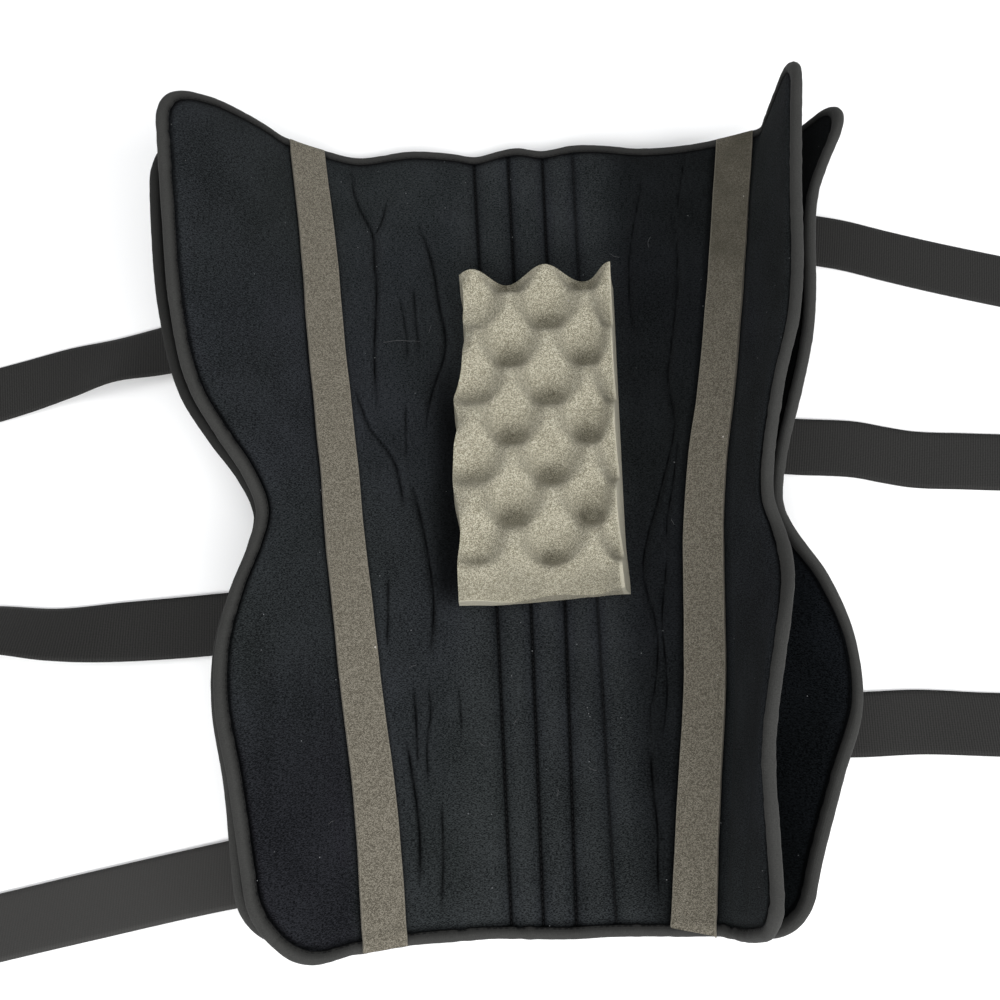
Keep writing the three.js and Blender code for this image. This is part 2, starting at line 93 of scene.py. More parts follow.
def makeStudio(settings):
    reach = settings["floorSize"] / 2
    corners = [(-reach, -reach), (reach, -reach), (reach, reach), (-reach, reach)]
    mesh = bpy.data.meshes.new("floor")
    mesh.from_pydata([(x, y, -settings["floorDrop"]) for x, y in corners], [], [(0, 1, 2, 3)])
    floor = linkObject("floor", mesh)
    paper = bpy.data.materials.new("floorPaper")
    paper.use_nodes = True
    shader = paper.node_tree.nodes["Principled BSDF"]
    shader.inputs["Base Color"].default_value = settings["floorTone"]
    shader.inputs["Roughness"].default_value = 1
    shader.inputs["Specular IOR Level"].default_value = 0
    mesh.materials.append(paper)

    world = bpy.data.worlds.new("studioSky")
    world.use_nodes = True
    sky = world.node_tree.nodes["Background"]
    sky.inputs["Color"].default_value = settings["skyTone"]
    sky.inputs["Strength"].default_value = settings["skyStrength"]
    scene.world = world
    for name, place, size, power in settings["lamps"]:
        lamp = bpy.data.lights.new(name, "AREA")
        lamp.shape = "RECTANGLE"
        lamp.size, lamp.size_y = size
        lamp.energy = power
        holder = linkObject(name, lamp)
        holder.location = place
        holder.rotation_euler = Vector(place).to_track_quat("Z", "Y").to_euler()
    scene.view_settings.view_transform = "Standard"


makeCamera(cameraLook)
makeStudio(studio)
print("camera and studio set")


# flat pattern and the way it is bent, all in millimetres:
# s across from the middle, y along the leg, h off the cloth

def table(header, *rows):
    return dict(zip(header.split(), np.array(rows, float).T))


pattern = {
    "half": 254, "thick": 6, "edgeThick": 3.2, "pinchOut": 4, "foldRound": 10,
    "leafThick": 5, "leafOffset": 2, "leafSeat": 0.45, "leafLap": 8,
    "seatEase": (1, 21),          # past its tape, where a leaf starts to seat on the liner and is seated
    "tapeWidth": 5, "tapeThick": 1.1, "gap": 0.35,
    "stripWidth": 25, "stripThick": 2.4, "stripInset": 1,
    "padSides": (-42, 60), "padEnds": (-68, 143),
    # corner sizes, left and right at the calf, then at the thigh
    "linerCorners": ((38, 18), (30, 30)), "leafCorners": ((36, 26), (46, 28)),
    "linerEnds": (-254, 254), "leafEnds": (-249, 239),
    "lean": (0.25, 0.06),         # run of the wings toward the calf, at the calf and at the thigh
    "rippleFrom": 165,
    "liftOver": (45, 8),          # in from the ends, where the liner starts to rise onto its tape and is up
}
outline = table(
    "y fold leftWing rightWing",
    (-254, 103, 52.5, 60), (-203, 109.5, 57.5, 67), (-160, 114, 63, 71), (-119, 118.5, 69, 74),
    (-86, 120.5, 68.5, 70), (-54, 122.5, 59.5, 57), (-30, 124, 49.5, 47), (-10, 126, 44, 46),
    (12, 128, 52, 53), (35, 131, 66.5, 62), (60, 134, 80.5, 71), (110, 141, 91, 79), (167, 150, 95.5, 82),
    (254, 164, 102, 87))
leftBend = table(
    "y flat back root tip leafRoot leafTip leafTrim",
    (-254, 25, 24, 32, 28, 29, 25, -1.5), (-230, 27.4, 24, 33.4, 30, 30.4, 27, -2.5),
    (-203, 30, 24, 35, 32.4, 32, 29.4, -1.5), (-160, 35, 24, 37, 36, 34, 33, 1),
    (-86, 43, 24, 37.3, 36.8, 33.8, 33.2, 2.5), (-18, 50, 24, 37, 37, 33, 33, 2.5),
    (40, 59, 24.6, 36.4, 37.6, 32.4, 33.6, -0.5), (83, 66, 25, 36, 38, 32, 34, -1.5),
    (167, 85, 26, 42, 47, 38, 42, -0.5), (254, 103, 27, 48, 60, 43, 53, 8))
rightBend = table(
    "y flat back root tip leafRoot leafTip leafTrim",
    (-254, 20, 28, 72, 84, 44, 48, 18), (-228, 20, 27.9, 75, 89, 39, 42.3, 18.5),
    (-203, 20, 28, 78, 94, 34, 36, 18), (-160, 20, 29, 80.8, 99.8, 24, 20, 11.5),
    (-119, 20, 29, 78.6, 97.6, 18, 9, 3), (-86, 20, 30, 75, 88, 19, 9, 0.5),
    (-54, 20, 30, 67, 77, 34, 30, 2), (-34, 20, 30, 64, 77, 52, 57.5, 6.6),
    (-18, 20, 30, 69.5, 85.5, 64, 75.5, 10), (-4, 20, 29.6, 71.7, 88, 65, 79, 11.4),
    (20, 20, 28.5, 73.3, 91, 66.5, 81.4, 12.5), (46, 20, 27, 74, 92, 66.5, 81, 12.7),
    (83, 20, 25, 70.8, 89.8, 66, 80, 13), (167, 20, 21, 74, 98, 70, 87, 16),
    (190, 20, 20.3, 77.5, 97.2, 66.3, 81.5, 14.4), (210, 20, 19.9, 81.2, 95.6, 62, 75, 12.3),
    (254, 20, 19, 90, 91, 59, 67, 7))
ripples = table(
    "s rise",
    (-135, 0), (-114, 0), (-78, 6), (-33, 0.5), (-6, 6), (14, 4.5), (37, 7), (81, 1.5), (112, 0), (135, 0))
# how far the liner's two ends stray from a straight cut
thighEnd = table(
    "s stray",
    (-270, -4), (-245, -2), (-222, 5), (-200, 7.5), (-180, 7), (-164, 4), (-140, 0.8), (-115, -3),
    (-95, -3.3), (-70, -2), (-45, -1.5), (-31, -3.5), (-16, -2), (0, -0.5), (16, -2), (40, 0.3),
    (62, 0.3), (85, -2), (110, -3), (135, -2.8), (164, -1), (180, 0), (270, 0))
calfEnd = table(
    "s stray",
    (-270, 2), (-165, 2), (-150, 0.5), (-138, -2.5), (-125, -4.3), (-110, -5.2), (-98, -5.2), (-85, -4),
    (-70, -2.5), (-45, -1.5), (-25, -0.5), (0, -1), (20, -1.3), (40, -0.3), (75, 0.5), (95, 1.2),
    (110, 2), (125, 3.4), (145, 7.5), (160, 11), (270, 11.5))
# where the grip strips lie, off the fold
stripStray = {
    -1: table("y stray", (-254, -4), (-203, -5.6), (-160, -4.5), (-119, -2.4), (-86, 0), (-54, 2.5),
              (-30, 4.4), (12, 5), (60, 5.3), (110, 4.8), (167, 1.8), (254, 0)),
    1: table("y stray", (-254, -1.2), (-203, -2), (-160, -1), (-86, 0), (-10, 0), (12, 0.8), (35, 1.8),
             (60, 4), (110, 4.8), (167, 3.5), (254, 0)),
}
endLift = pattern["gap"] + pattern["tapeThick"]


def smoothStep(x, low, high):
    t = np.clip((x - low) / (high - low), 0, 1)
    return t * t * (3 - 2 * t)


def between(x, rise, fall):
    return smoothStep(x, *rise) * (1 - smoothStep(x, *fall))


def bell(x, width):
    return np.exp(-(x / width) ** 2)


# smooth curve through the rows of a table, with no bend at its ends
def readSmooth(rows, key, column, x):
    at, value = rows[key], rows[column]
    x = np.clip(np.asarray(x, float), at[0], at[-1])
    right = np.clip(np.searchsorted(at, x, side="right"), 1, len(at) - 1)
    left = right - 1
    before = np.where(left > 0, left - 1, right)
    after = np.where(right < len(at) - 1, right + 1, left)
    step = at[right] - at[left]
    p = (x - at[left]) / step
    pull = step / 2 / (at[left] - at[before])
    push = step / 2 / (at[after] - at[right])
    return (
        value[before] * pull * (-p**3 + 2 * p**2 - p)
        + value[left] * ((1 + pull) * p**3 - (1.5 + 2 * pull) * p**2 + (pull - 0.5) * p + 1)
        + value[right] * (-(1 + push) * p**3 + (1.5 + push) * p**2 + 0.5 * p)
        + value[after] * push * (p**3 - p**2))


def sideValue(column, s, y):
    if column == "fold":
        return readSmooth(outline, "y", "fold", y)
    if column == "wing":
        left, right = ((outline, "y", wing, y) for wing in ("leftWing", "rightWing"))
    else:
        left, right = ((bend, "y", column, y) for bend in (leftBend, rightBend))
    return np.where(s < 0, readSmooth(*left), readSmooth(*right))


# walks a distance along a chain of arcs that starts level
def walkArcs(arcs, distance):
    x, z, slope = (np.zeros_like(distance) for _ in range(3))
    left = distance
    for index, (length, turn) in enumerate(arcs):
        step = left if index == len(arcs) - 1 else np.minimum(left, length)
        bent = turn * step / np.maximum(length, 1e-6)
        chord = step * np.sinc(bent / 2 / np.pi)
        x = x + chord * np.cos(slope + bent / 2)
        z = z + chord * np.sin(slope + bent / 2)
        slope = slope + bent
        left = left - step
    return x, z, slope


def bendArcs(s, y, leaf):
    root, tip = ("leafRoot", "leafTip") if leaf else ("root", "tip")
    flat, fold, wing = (sideValue(column, s, y) for column in ("flat", "fold", "wing"))
    back, rootTurn, tipTurn = (np.radians(sideValue(column, s, y)) for column in ("back", root, tip))
    bentWing = wing - pattern["foldRound"]
    arcs = [(flat, 0), (fold - flat, back), (pattern["foldRound"], rootTurn - back),
            (bentWing, tipTurn - rootTurn)]
    return arcs, fold


# the thigh end stands in ripples, and both ends stand on their tape
def endRise(s, y):
    half = pattern["half"]
    ripple = readSmooth(ripples, "s", "rise", s) * smoothStep(y, pattern["rippleFrom"], half)
    far, near = pattern["liftOver"]
    return ripple + endLift * smoothStep(np.abs(y), half - far, half - near)


def endStray(s, y):
    half, start = pattern["half"], pattern["rippleFrom"]
    return (readSmooth(thighEnd, "s", "stray", s) * smoothStep(y, start, half)
            + readSmooth(calfEnd, "s", "stray", s) * smoothStep(-y, start, half))


def bendCloth(s, y, h, leaf=False):
    s, y, h = np.broadcast_arrays(*(np.asarray(value, float) for value in (s, y, h)))
    arcs, fold = bendArcs(s, y, leaf)
    x, z, slope = walkArcs(arcs, np.abs(s))
    beyond = np.maximum(x - walkArcs(arcs, fold)[0], 0)
    lean = np.interp(y, (-pattern["half"], pattern["half"]), pattern["lean"]) * beyond
    lift, stray = (0, 0) if leaf else (endRise(s, y), endStray(s, y))
    across = np.where(s < 0, -1, 1) * (x - np.sin(slope) * h)
    return np.stack([across, y - lean + stray, pattern["thick"] / 2 + lift + z + np.cos(slope) * h], -1)


def leafMiddle(s, y):
    low, high = pattern["leafEnds"]
    ease = [pattern["tapeWidth"] + past for past in pattern["seatEase"]]
    across = 1 - smoothStep(np.abs(s) - sideValue("fold", s, y), -1, pattern["foldRound"] / 2)
    seated = across * smoothStep(np.minimum(y - low, high - y), *ease)
    offset = pattern["leafOffset"] + (pattern["leafSeat"] - pattern["leafOffset"]) * seated
    return -(pattern["thick"] + pattern["leafThick"]) / 2 - offset


def bendLeaf(s, y, h):
    return bendCloth(s, y, leafMiddle(s, y) + h, leaf=True)


# outer side of the grip strip
def stripOuter(sign, y):
    return sideValue("fold", y, y) - pattern["stripInset"] + readSmooth(stripStray[sign], "y", "stray", y)


def linerEdge(s, y):
    return sideValue("fold", s, y) + sideValue("wing", s, y)


def leafEdge(s, y):
    return linerEdge(s, y) - sideValue("leafTrim", s, y)


def roundCorners(s, y, ends, corners, edgeAt):
    thigh = y > 0
    way = np.where(thigh, 1, -1)
    radius = np.where(thigh, *(np.where(s < 0, *corners[k]) for k in (1, 0)))
    inner = np.where(thigh, ends[1], ends[0]) - way * radius
    a = (np.abs(s) - (edgeAt(s, y) - radius)) / radius
    b = way * (y - inner) / radius
    turnedB = b * np.sqrt(np.maximum(1 - a * a / 2, 0))
    turnedA = a * np.sqrt(np.maximum(1 - b * b / 2, 0))
    newY = inner + way * turnedB * radius
    newS = np.where(s < 0, -1, 1) * (edgeAt(s, newY) - radius + turnedA * radius)
    corner = (a > 0) & (b > 0)
    return np.where(corner, newS, s), np.where(corner, newY, y)


# mesh helpers

def rimOf(grid):
    return np.concatenate([grid[0, :-1], grid[:-1, -1], grid[-1, :0:-1], grid[:0:-1, 0]])


def surfaceNormals(grid):
    normal = np.cross(np.gradient(grid, axis=1), np.gradient(grid, axis=0))
    return normal / np.maximum(np.linalg.norm(normal, axis=-1, keepdims=True), 1e-9)


def gridFaces(index):
    return np.stack([index[:-1, :-1], index[:-1, 1:], index[1:, 1:], index[1:, :-1]], -1).reshape(-1, 4)


# closed sheet between two grids whose columns run to +s and rows to +y
def sheetFaces(rows, columns):
    index = np.arange(rows * columns).reshape(rows, columns)
    under = index + rows * columns
    rim, lower = rimOf(index), rimOf(under)
    wall = np.stack([lower, np.roll(lower, -1), np.roll(rim, -1), rim], -1)
    return np.concatenate([gridFaces(index), gridFaces(under)[:, ::-1], wall]).tolist()


# the same with every second line of the grid on the underside
def coarseSheetFaces(rows, columns):
    index = np.arange(rows * columns).reshape(rows, columns)
    halfRows, halfColumns = rows // 2 + 1, columns // 2 + 1
    under = np.arange(halfRows * halfColumns).reshape(halfRows, halfColumns) + rows * columns
    rim, lower = rimOf(index), rimOf(under)
    wall = np.stack([lower, np.roll(lower, -1), np.roll(rim, -2)[::2], rim[1::2], rim[::2]], -1)
    return gridFaces(index).tolist() + gridFaces(under)[:, ::-1].tolist() + wall.tolist()


# tube of closed sections: points as (stations, section, 3)
def tubeFaces(stations, section, closed):
    index = np.arange(stations * section).reshape(stations, section)
    here = index if closed else index[:-1]
    after = np.roll(index, -1, 0) if closed else index[1:]
    faces = np.stack([here, after, np.roll(after, -1, 1), np.roll(here, -1, 1)], -1).reshape(-1, 4)
    caps = [] if closed else [index[0].tolist(), index[-1, ::-1].tolist()]
    return faces.tolist() + caps


def readPoints(mesh):
    points = np.empty(len(mesh.vertices) * 3)
    mesh.vertices.foreach_get("co", points)
    return points.reshape(-1, 3)


def flipIfInside(points, faces):
    flat = np.asarray(points).reshape(-1, 3)
    quads = np.array([face for face in faces if len(face) == 4])
    a, b, c, d = (flat[quads[:, k]] for k in range(4))
    volume = np.einsum("ij,ij->i", a, np.cross(b, c) + np.cross(c, d)).sum()
    return [face[::-1] for face in faces] if volume < 0 else faces


def flatTree(points):
    tree = kdtree.KDTree(len(points))
    for index, (a, b) in enumerate(points):
        tree.insert((a, b, 0), index)
    tree.balance()
    return tree


def dressMesh(mesh, sharp=None, **masks):
    for mask, values in masks.items():
        mesh.attributes.new(mask, "FLOAT", "POINT").data.foreach_set("value", np.ravel(values))
    mesh.polygons.foreach_set("use_smooth", np.ones(len(mesh.polygons), bool))
    if sharp:
        mesh.set_sharp_from_angle(angle=math.radians(sharp))
    mesh.update()


def makePiece(name, points, faces, material, flat=None, sharp=None, **masks):
    mesh = bpy.data.meshes.new(name)
    mesh.from_pydata((np.asarray(points).reshape(-1, 3) * mm).tolist(), [], faces)
    if flat is not None:
        loops = np.empty(len(mesh.loops), int)
        mesh.loops.foreach_get("vertex_index", loops)
        layer = mesh.uv_layers.new(name="flat")
        layer.data.foreach_set("uv", (np.asarray(flat).reshape(-1, 2)[loops] * mm).ravel())
    mesh.materials.append(materials[material])
    dressMesh(mesh, sharp, **masks)
    return linkObject(name, mesh)


def joinSides(top, bottom):
    return np.concatenate([side.reshape(-1, side.shape[-1]) for side in (top, bottom)])


# closed sheet of two like grids; its masks hold for both sides
def makeSheet(name, s, y, top, bottom, material, sharp=None, **masks):
    points = joinSides(top, bottom)
    flat = np.stack([s, y], -1)
    masks = {mask: np.tile(np.broadcast_to(value, s.shape).ravel(), 2) for mask, value in masks.items()}
    faces = flipIfInside(points, sheetFaces(*s.shape))
    return makePiece(name, points, faces, material, joinSides(flat, flat), sharp, **masks)


def settle(piece, slot, *nodes):
    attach(piece, "root")
    if nodes:
        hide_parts(*nodes)


# shared shader groups

# a socket takes a plain value or another node's output
def feed(tree, socket, value):
    if isinstance(value, bpy.types.NodeSocket):
        tree.links.new(value, socket)
    elif socket.type == "RGBA":
        socket.default_value = (*value, 1)
    else:
        socket.default_value = value


def addNode(tree, kind, feeds, **settings):
    node = tree.nodes.new(kind)
    for setting, value in settings.items():
        setattr(node, setting, value)
    for socket, value in feeds.items():
        feed(tree, node.inputs[socket], value)
    return node


def addMath(tree, operation, *values, clamp=False):
    feeds = dict(enumerate(values))
    return addNode(tree, "ShaderNodeMath", feeds, operation=operation, use_clamp=clamp).outputs[0]


# adds up values, each by its share
def addShares(tree, *shares):
    total = 0.0
    for value, share in shares:
        total = addMath(tree, "MULTIPLY_ADD", value, share, total)
    return total


def addNoise(tree, vector, scale, detail=2.0, rough=0.5):
    feeds = {"Vector": vector, "Scale": scale, "Detail": detail, "Roughness": rough}
    return addNode(tree, "ShaderNodeTexNoise", feeds).outputs[0]


# scattered cells: the distance from the middle of each, and a number of its own
def addCells(tree, vector, scale):
    cells = addNode(tree, "ShaderNodeTexVoronoi", {"Vector": vector, "Scale": scale})
    own = addNode(tree, "ShaderNodeSeparateColor", {0: cells.outputs["Color"]})
    return cells.outputs["Distance"], own.outputs[0]


# a socket is given by its kind, or by the plain number that it starts from
def startGroup(name, treeKind, inputs, outputs):
    group = bpy.data.node_groups.new(name, treeKind)
    for way, sockets in (("INPUT", inputs), ("OUTPUT", outputs)):
        for label, start in sockets.items():
            named = isinstance(start, str)
            kind = start if named else type(start).__name__.capitalize()
            socket = group.interface.new_socket(label, in_out=way, socket_type="NodeSocket" + kind)
            if not named:
                socket.default_value = start
    return group, group.nodes.new("NodeGroupInput").outputs, group.nodes.new("NodeGroupOutput").inputs


pileLook = {
    "stretch": (0.62, 1.6, 1),                            # the pile lies across the leg
    "clumps": 0.7, "tufts": 0.2, "mottle": 0.1,           # shares of the tone
    "tuftRate": 0.4,
}


# brushed pile: fine clumps and larger tufts over a soft mottle
def makePileGroup():
    group, into, out = startGroup(
        "brushedPile", "ShaderNodeTree",
        {"Vector": "Vector", "Clumps per metre": 900.0, "Mottle per metre": 35.0},
        {"Tone": "Float", "Height": "Float"})
    stretched = addNode(group, "ShaderNodeVectorMath", {0: into["Vector"], 1: pileLook["stretch"]},
                        operation="MULTIPLY").outputs[0]
    tuftRate = addMath(group, "MULTIPLY", into["Clumps per metre"], pileLook["tuftRate"])
    clumps = addNoise(group, stretched, into["Clumps per metre"], detail=3, rough=0.7)
    tufts = addNoise(group, stretched, tuftRate, detail=2, rough=0.6)
    mottle = addNoise(group, into["Vector"], into["Mottle per metre"], detail=3, rough=0.55)
    feed(group, out["Tone"], addShares(
        group, (clumps, pileLook["clumps"]), (tufts, pileLook["tufts"]), (mottle, pileLook["mottle"])))
    feed(group, out["Height"], clumps)
    return group


# stray lint: a few small pale flecks, one at most to a cell
def makeLintGroup():
    group, into, out = startGroup(
        "strayLint", "ShaderNodeTree",
        {"Vector": "Vector", "Cells per metre": 60.0, "Fleck size": 0.02, "Share": 0.35}, {"Mask": "Float"})
    distance, own = addCells(group, into["Vector"], into["Cells per metre"])
    near = addMath(group, "LESS_THAN", distance, into["Fleck size"])
    chosen = addMath(group, "LESS_THAN", own, into["Share"])
    feed(group, out["Mask"], addMath(group, "MULTIPLY", near, chosen))
    return group


# open-cell foam: speckle and pores
def makeFoamGroup():
    group, into, out = startGroup(
        "openCellFoam", "ShaderNodeTree", {"Vector": "Vector", "Cells per metre": 700.0},
        {"Speckle": "Float", "Height": "Float"})
    distance, own = addCells(group, into["Vector"], into["Cells per metre"])
    grain = addNoise(group, into["Vector"], into["Cells per metre"], detail=2, rough=0.7)
    feed(group, out["Speckle"], addShares(group, (own, 0.5), (grain, 0.5)))
    feed(group, out["Height"], addMath(group, "ADD", distance, grain))
    return group


# woven ribs across a band, with the yarns that cross them
def makeRibGroup():
    group, into, out = startGroup(
        "wovenRibs", "ShaderNodeTree",
        {"Vector": "Vector", "Ribs per metre": 800.0, "Yarns per metre": 1100.0}, {"Height": "Float"})
    split = addNode(group, "ShaderNodeSeparateXYZ", {0: into["Vector"]}).outputs
    waves = []
    for axis, rate, share in ((1, "Ribs per metre", 0.65), (0, "Yarns per metre", 0.35)):
        phase = addMath(group, "MULTIPLY", split[axis], into[rate])
        waves.append((addMath(group, "SINE", addMath(group, "MULTIPLY", phase, 2 * math.pi)), share))
    feed(group, out["Height"], addMath(group, "MULTIPLY_ADD", addShares(group, *waves), 0.5, 0.5))
    return group


groups = {"pile": makePileGroup(), "lint": makeLintGroup(), "foam": makeFoamGroup(), "ribs": makeRibGroup()}


# materials

def startMaterial(name, roughness, sheen=0.0, gloss=0.03, flat=True):
    material = bpy.data.materials.new(name)
    material.use_nodes = True
    tree = material.node_tree
    shader = tree.nodes["Principled BSDF"]
    finish = {
        "Roughness": roughness, "Specular IOR Level": gloss, "Sheen Weight": sheen, "Sheen Roughness": 0.45}
    for label, value in finish.items():
        feed(tree, shader.inputs[label], value)
    if flat:
        vector = addNode(tree, "ShaderNodeUVMap", {}, uv_map="flat").outputs["UV"]
    else:
        vector = addNode(tree, "ShaderNodeTexCoord", {}).outputs["Object"]
    return material, tree, shader, vector


def placeGroup(tree, name, vector, **values):
    feeds = {label.replace("_", " "): value for label, value in values.items()}
    return addNode(tree, "ShaderNodeGroup", {"Vector": vector, **feeds}, node_tree=groups[name]).outputs


def addRamp(tree, value, *stops):
    ramp = addNode(tree, "ShaderNodeValToRGB", {0: value})
    points = ramp.color_ramp.elements
    while len(points) < len(stops):
        points.new(0.5)
    for point, (place, colour) in zip(points, stops):
        point.position = place
        point.color = (*colour, 1)
    return ramp.outputs[0]


def addMix(tree, factor, first, second):
    return addNode(tree, "ShaderNodeMix", {0: factor, 6: first, 7: second}, data_type="RGBA").outputs[2]


# turns to another colour where an attribute of the piece is high
def addMask(tree, attribute, colour, other):
    mask = addNode(tree, "ShaderNodeAttribute", {}, attribute_name=attribute)
    return addMix(tree, mask.outputs["Fac"], colour, other)


def addLint(tree, vector, look, colour):
    lint = placeGroup(tree, "lint", vector, Cells_per_metre=look["lintCells"], Fleck_size=look["lintSize"],
                      Share=look["lintShare"])
    return addMix(tree, lint["Mask"], colour, look["lint"])


def finishMaterial(tree, shader, colour, height, depth, strength):
    feed(tree, shader.inputs["Base Color"], colour)
    bump = addNode(tree, "ShaderNodeBump", {"Height": height, "Distance": depth, "Strength": strength})
    feed(tree, shader.inputs["Normal"], bump.outputs[0])


liningLook = {
    "clumps": 1350.0, "mottle": 28.0, "slowMottle": 7.0, "contrast": (0.445, 0.555),
    "green": (1.0, 1.03, 0.99), "violet": (0.99, 0.975, 1.08),
    "paintedCalfShade": (0.66, 0.61, 0.7),          # painted shade on the left wing toward the calf
    "worn": (1.5, 1.5, 1.45),           # where it is rubbed
    # painted shade, near black, in creases, along sewn lines, at seams and folds
    "hollow": (0.0006, 0.0007, 0.0008),
    "lint": (0.16, 0.165, 0.17), "lintCells": 150.0, "lintSize": 0.045, "lintShare": 0.3,
}


def makeLiningMaterial(name, dark, light):
    look = liningLook
    material, tree, shader, vector = startMaterial(name, roughness=1.0, sheen=0.012, gloss=0.015)
    pile = placeGroup(tree, "pile", vector, Clumps_per_metre=look["clumps"], Mottle_per_metre=look["mottle"])
    # ramps of the pile: two random hues, a darker copy as painted shade, and a lighter rubbed copy
    tints = {}
    for tint in ("green", "violet", "paintedCalfShade", "worn"):
        colours = [tuple(np.multiply(tone, look[tint])) for tone in (dark, light)]
        tints[tint] = addRamp(tree, pile["Tone"], *zip(look["contrast"], colours))
    slow = addNoise(tree, vector, look["slowMottle"], detail=3, rough=0.5)
    slow = addRamp(tree, slow, (0.3, (0, 0, 0)), (0.7, (1, 1, 1)))
    cloth = addMix(tree, slow, tints["green"], tints["violet"])
    # masks: painted shade toward the calf, rubbed wear, and painted shade in creases, sewn lines and seams
    for mask, colour in (("paintedCalfShade", tints["paintedCalfShade"]), ("worn", tints["worn"]), ("hollow", look["hollow"])):
        cloth = addMask(tree, mask, cloth, colour)
    cloth = addLint(tree, vector, look, cloth)
    finishMaterial(tree, shader, cloth, pile["Height"], depth=0.0006, strength=0.8)
    return material


def makeTapeMaterial():
    material, tree, shader, vector = startMaterial("bindingTape", roughness=0.85, sheen=0.03, gloss=0.08)
    pile = placeGroup(tree, "pile", vector, Clumps_per_metre=1500.0, Mottle_per_metre=60.0)
    ribs = placeGroup(tree, "ribs", vector, Ribs_per_metre=1400.0, Yarns_per_metre=900.0)
    cloth = addRamp(tree, pile["Tone"], (0.3, (0.02, 0.02, 0.0193)), (0.7, (0.046, 0.046, 0.044)))
    # painted shade toward the inner edge of the tape and in the seam beside it
    cloth = addMask(tree, "hollow", cloth, (0.0015, 0.0015, 0.0015))
    finishMaterial(tree, shader, cloth, ribs["Height"], depth=0.0002, strength=0.6)
    return material


foamLook = {
    "stops": (0.33, 0.5, 0.67),
    "lint": (0.42, 0.4, 0.36), "lintCells": 75.0, "lintSize": 0.05, "lintShare": 0.15,
    "gripFoam": {
        "cells": 2000.0, "soil": (0.058, 0.053, 0.039),
        "tones": ((0.08, 0.072, 0.056), (0.131, 0.119, 0.093), (0.202, 0.185, 0.15)),
    },
    "padFoam": {
        "cells": 2200.0, "soil": (0.15, 0.138, 0.1),
        "tones": ((0.175, 0.16, 0.115), (0.288, 0.268, 0.2), (0.485, 0.46, 0.368)),
    },
}


def makeFoamMaterial(name):
    look, own = foamLook, foamLook[name]
    material, tree, shader, vector = startMaterial(name, roughness=1.0, sheen=0.05, flat=False)
    foam = placeGroup(tree, "foam", vector, Cells_per_metre=own["cells"])
    colour = addRamp(tree, foam["Speckle"], *zip(look["stops"], own["tones"]))
    # darker where soiled; lighter where the strips' edges are worn and where a painted highlight lies on the
    # pad's cut edges
    colour = addMask(tree, "worn", addMask(tree, "soiled", colour, own["soil"]), own["tones"][-1])
    colour = addLint(tree, vector, look, colour)
    finishMaterial(tree, shader, colour, foam["Height"], depth=0.0008, strength=0.7)
    return material


webbingLook = {
    "ribs": 640.0, "yarns": 950.0, "grain": 1100.0, "ribShare": 0.4, "grainShare": 0.6,
    "dark": (0.0098, 0.0096, 0.0092), "light": (0.0262, 0.0256, 0.0246),
    # rubbed is random wear; the lightest tone is a painted highlight for the left lower strap
    "rubbed": (0.017, 0.0166, 0.016), "worn": (0.062, 0.0605, 0.058),
}


def makeWebbingMaterial():
    look = webbingLook
    material, tree, shader, vector = startMaterial("webbing", roughness=0.65, sheen=0.04, gloss=0.12)
    ribs = placeGroup(tree, "ribs", vector, Ribs_per_metre=look["ribs"], Yarns_per_metre=look["yarns"])
    grain = addNoise(tree, vector, look["grain"], detail=2, rough=0.6)
    yarn = addShares(tree, (ribs["Height"], look["ribShare"]), (grain, look["grainShare"]))
    rubbed = addMath(tree, "MULTIPLY", addNoise(tree, vector, 14.0, detail=3, rough=0.6), 0.5)
    cloth = addRamp(tree, yarn, (0.38, look["dark"]), (0.62, look["light"]))
    cloth = addMix(tree, rubbed, cloth, look["rubbed"])
    # painted highlight where the strap lies nearer the light
    cloth = addMask(tree, "worn", cloth, look["worn"])
    finishMaterial(tree, shader, cloth, ribs["Height"], depth=0.0002, strength=0.6)
    return material


def makeThreadMaterial(name, dark, light):
    material, tree, shader, vector = startMaterial(name, roughness=0.6, gloss=0.1, flat=False)
    twist = addNoise(tree, vector, 2500.0, detail=2, rough=0.6)
    feed(tree, shader.inputs["Base Color"], addRamp(tree, twist, (0.3, dark), (0.7, light)))
    return material


def makeHookMaterial():
    material, tree, shader, vector = startMaterial("hookTape", roughness=0.5, gloss=0.3)
    ribs = placeGroup(tree, "ribs", vector, Ribs_per_metre=700.0, Yarns_per_metre=700.0)
    colour = addRamp(tree, ribs["Height"], (0.2, (0.008, 0.008, 0.008)), (0.9, (0.03, 0.03, 0.03)))
    finishMaterial(tree, shader, colour, ribs["Height"], depth=0.0009, strength=0.9)
    return material


materials = {
    "lining": makeLiningMaterial("brushedLining", (0.0048, 0.0055, 0.0058), (0.0262, 0.0292, 0.0306)),
    "shell": makeLiningMaterial("shellKnit", (0.0005, 0.0007, 0.0008), (0.0064, 0.0076, 0.0084)),
    "tape": makeTapeMaterial(),
    "grip": makeFoamMaterial("gripFoam"),
    "pad": makeFoamMaterial("padFoam"),
    "webbing": makeWebbingMaterial(),
    "thread": makeThreadMaterial("blackThread", (0.002, 0.002, 0.0023), (0.007, 0.007, 0.0075)),
    "fibre": makeThreadMaterial("paleFibre", (0.05, 0.05, 0.052), (0.13, 0.13, 0.135)),
    "hook": makeHookMaterial(),
}
print("materials made:", len(materials))


# the padded liner

